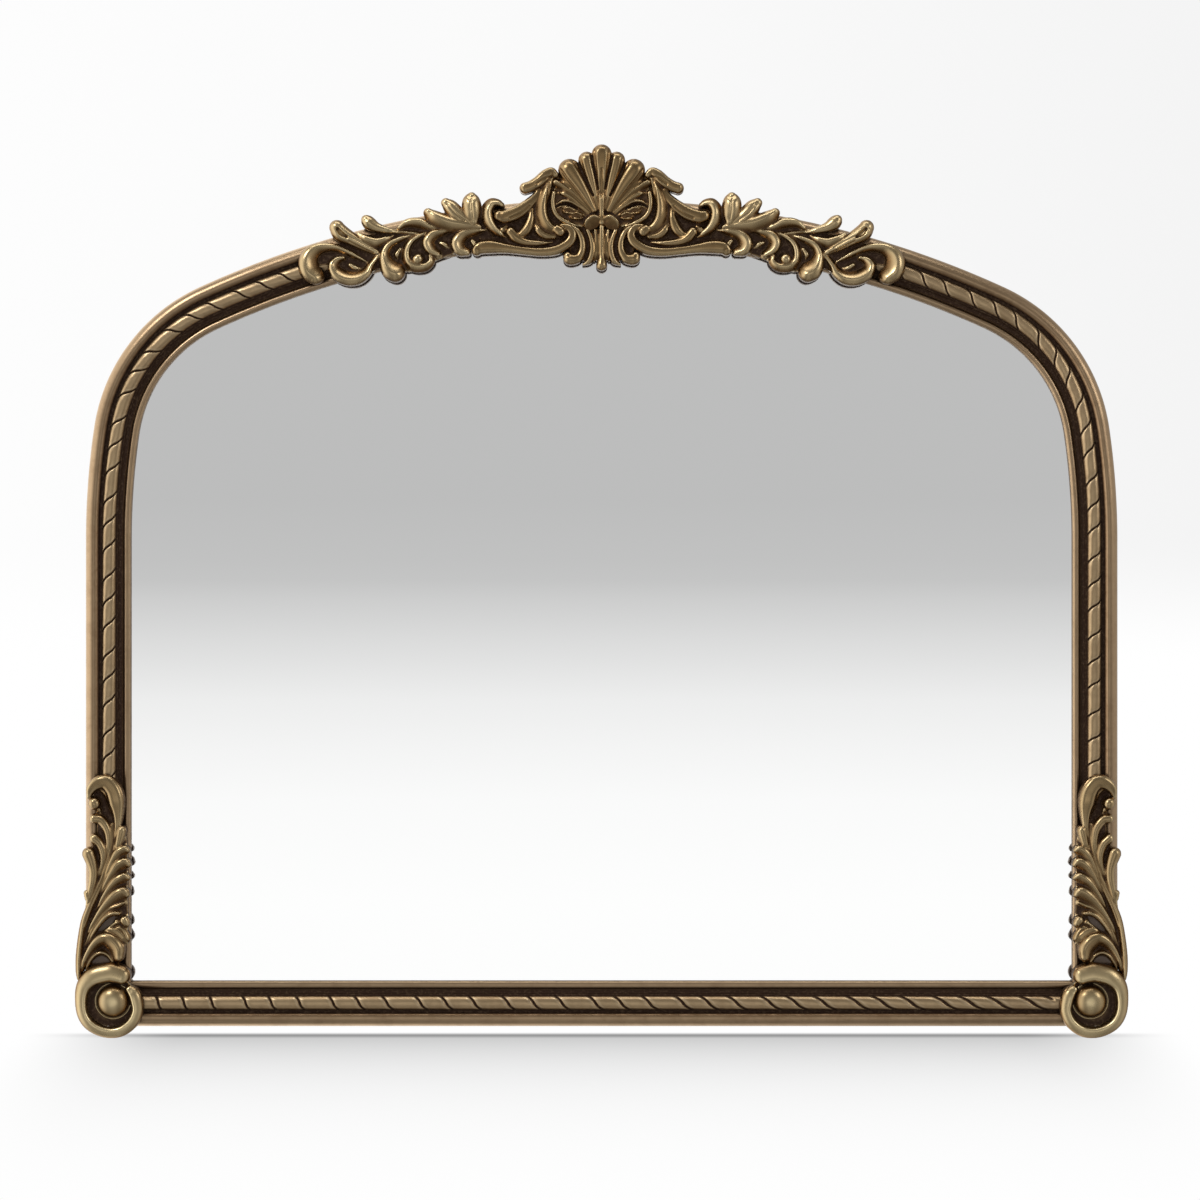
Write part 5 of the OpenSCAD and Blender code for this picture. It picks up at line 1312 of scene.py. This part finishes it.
# Where a node's screws stand: the middles of their head tops
def screwSpots(node):
    co = np.array([vertex.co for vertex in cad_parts[node].data.vertices])
    highest = co[:, 1].max()
    tops = co[co[:, 1] > highest - 0.05 * mm]
    spots = []
    while len(tops):
        near = np.hypot(tops[:, 0] - tops[0, 0], tops[:, 2] - tops[0, 2]) < 6 * mm
        middle = tops[near].mean(0)
        spots.append([middle[0], highest - screwHead["under"] * mm, middle[2]])
        tops = tops[~near]
    return spots


spots = sum([screwSpots(node) for node in screwNodes], [])
source = bpy.data.meshes.new("screwSpots")
source.from_pydata(spots, [], [])
screw = newObject("screw", screwMesh())
board, wires = newGrowth("screwPattern", {"Screw": "Object", "Seed": "Int"})
shown = board.add("GeometryNodeObjectInfo", None, {"Object": wires["Screw"]}, "Geometry")
inputs = {2: 0.0, 3: fullTurn, "Seed": wires["Seed"]}
turn = board.add("FunctionNodeRandomValue", {"data_type": "FLOAT"}, inputs, 1)
rows = board.add("GeometryNodeInstanceOnPoints", None, {
    "Points": wires["Geometry"], "Instance": shown, "Rotation": board.combine(0.0, turn, 0.0)})
endGrowth(board, rows, wires["Material"])
mesh = growPiece("screws", newObject("screwSpots", source), board.tree,
                 {"Screw": screw, "Seed": screwHead["seed"], "Material": zincSteel})
bpy.data.objects.remove(screw)
mesh.set_sharp_from_angle(angle=math.radians(screwHead["sharp"]))
makePiece("screws", mesh, zincSteel, screwNodes)
print("screws made:", len(spots))

# Studio: a pale floor with a painted shadow under the frame, soft lamps and a pale surround
studio = {
    "floorHalf": 9.0, "floorDrop": 0.0002, "floorGlow": 0.85, "dullSurround": 0.62,
    "shadow": {"depth": 0.45, "reach": 0.227, "contact": 0.26, "contactAt": 0.011, "contactHalf": 0.024,
               "startsAt": (-0.016, 0.010), "inside": 0.100, "outside": 0.070},
    "surround": [(0.0, 0.985), (0.5, 0.955), (1.0, 0.90)],
    "mirrored": [(0.0, 1.0), (0.25, 0.97), (0.375, 0.92), (0.5, 0.86), (0.60, 0.765), (0.65, 0.72),
                 (0.70, 0.67), (0.75, 0.622), (0.80, 0.563), (0.85, 0.543), (1.0, 0.515)],
    "surroundFrom": (-0.2, 0.4), "mirroredFrom": (-0.09, 0.12), "horizon": (0.02, -0.02),
    "upper": {"color": rgb(0.26, 0.255, 0.25), "range": (0.09, 0.32)},
    "lower": {"color": grey(0.42), "range": (-0.12, -0.4)},
    "front": {"color": rgb(0.26, 0.255, 0.25), "range": (0.16, 0.34)},
    "leftSide": rgb(1.7, 1.68, 1.65), "rightSide": rgb(0.62, 0.61, 0.60), "sideSplit": (-0.2, 0.2),
    "sides": (0.42, 0.96), "behind": (-0.1, 0.4),
}
h = studio["floorHalf"]
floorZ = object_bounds()[0].z - studio["floorDrop"]
floorMesh = bpy.data.meshes.new("floor")
floorCorners = [(-h, -h, floorZ), (h, -h, floorZ), (h, h, floorZ), (-h, h, floorZ)]
floorMesh.from_pydata(floorCorners, [], [(0, 1, 2, 3)])
floor = newObject("floor", floorMesh)
# The floor glows to the camera with a painted shadow: a soft fall in front of the frame and a dark contact
# line under it. Other rays see it glow evenly, and reflections pass through it
material, board = newMaterial("floorWithPaintedShadow")
rays = board.add("ShaderNodeLightPath", output=None)
cameraRay, glossyRay = [Wire(board, rays.outputs[name]) for name in ("Is Camera Ray", "Is Glossy Ray")]
parts = board.add("ShaderNodeSeparateXYZ", None, {0: board.objectPlace()}, None)
ahead = -Wire(board, parts.outputs["Y"])
apart = Wire(board, parts.outputs["X"]).size()
shadow = studio["shadow"]
half = outline["halfWidth"] * mm
under = 1.0 - apart.ramp(half - shadow["inside"], half + shadow["outside"])
fall = (-ahead / shadow["reach"]).apply("EXPONENT") * ahead.ramp(*shadow["startsAt"]) * shadow["depth"]
line = (ahead - shadow["contactAt"]).size().ramp(shadow["contactHalf"], 0.0) * shadow["contact"]
tone = 1.0 - (fall + line).least(1.0) * under
shadowedGlow = board.add("ShaderNodeEmission", None, {"Color": board.combine(tone, tone, tone), "Strength": 1.0})
white = board.add("ShaderNodeEmission", None, {"Color": grey(1.0), "Strength": studio["floorGlow"]})
shadowedGlow = board.add("ShaderNodeMixShader", None, {0: cameraRay, 1: white, 2: shadowedGlow})
clear = board.add("ShaderNodeBsdfTransparent", None, {"Color": grey(1.0)})
board.finish(board.add("ShaderNodeMixShader", None, {0: glossyRay, 1: shadowedGlow, 2: clear}))
floorMesh.materials.append(material)

# The surround is pale to the camera. Reflections see it grey in front, above the horizon, and
# white below it, at the sides and behind
world = bpy.data.worlds.new("studio")
scene.world = world
world.use_nodes = True
board = Board(world.node_tree)
rays = board.add("ShaderNodeLightPath", output=None)
seen, glossy, through = [Wire(board, rays.outputs["Is " + kind + " Ray"])
                         for kind in ("Camera", "Glossy", "Transmission")]
direction = board.add("ShaderNodeTexCoord", None, None, "Generated")
parts = board.add("ShaderNodeSeparateXYZ", None, {0: direction}, None)
dirX, dirY, dirZ = [Wire(board, parts.outputs[axis]) for axis in "XYZ"]


# Greys laid out along a direction, from a start over a reach
def greysAlong(name, value):
    start, reach = studio[name + "From"]
    return board.add("ShaderNodeValToRGB", {"stops": studio[name]}, {0: (value - start) / reach})


wall = board.blend(dirZ.ramp(*studio["horizon"]), greysAlong("surround", dirX), grey(1.0))
fade = greysAlong("mirrored", dirZ)
for name, value in (("upper", dirZ), ("lower", dirZ), ("front", dirX.size())):
    fade = board.blend(value.ramp(*studio[name]["range"]), fade, studio[name]["color"])
side = board.blend(dirX.ramp(*studio["sideSplit"]), studio["leftSide"], studio["rightSide"])
aside = dirX.size().ramp(*studio["sides"]).most(dirY.ramp(*studio["behind"]))
tone = board.blend(glossy, grey(studio["dullSurround"]), board.blend(aside, fade, side))
tone = board.blend((seen + through).least(1.0), tone, wall)
background = board.add("ShaderNodeBackground", None, {"Color": tone, "Strength": 1.0})
board.add("ShaderNodeOutputWorld", None, {"Surface": background}, None)

# Soft lamps: key high on the left, a weaker one on the right and one above
lamps = {
    "key": {"at": (-1.7, -2.0, 1.9), "size": (0.8, 0.8), "power": 26.0},
    "rightFill": {"at": (2.3, -1.6, 0.9), "size": (0.9, 1.2), "power": 9.0},
    "above": {"at": (0.0, -0.6, 2.2), "size": (2.2, 0.6), "power": 14.0},
}
aimAt = (0.0, 0.0, -0.1)
for name, lamp in lamps.items():
    data = bpy.data.lights.new(name, "AREA")
    data.shape = "RECTANGLE"
    data.size, data.size_y = lamp["size"]
    data.energy = lamp["power"]
    light = newObject(name, data)
    light.location = lamp["at"]
    aim = [b - a for a, b in zip(lamp["at"], aimAt)]
    light.rotation_euler = Vector(aim).to_track_quat("-Z", "Y").to_euler()

# The photograph's camera, level and straight in front
camera = {"distance": 3.230, "height": 413.9, "aside": -1.6, "frameWidth": 1.1727, "sensor": 36.0}
data = bpy.data.cameras.new("camera")
data.sensor_width = camera["sensor"]
data.lens = camera["sensor"] * camera["distance"] / camera["frameWidth"]
data.clip_end = 100.0
viewer = newObject("camera", data)
viewer.location = (camera["aside"] * mm, -camera["distance"], (camera["height"] + bottomEdge) * mm)
viewer.rotation_euler = (math.radians(90), 0.0, 0.0)
scene.camera = viewer
scene.view_settings.view_transform = "Standard"
print("studio, lamps and camera set")
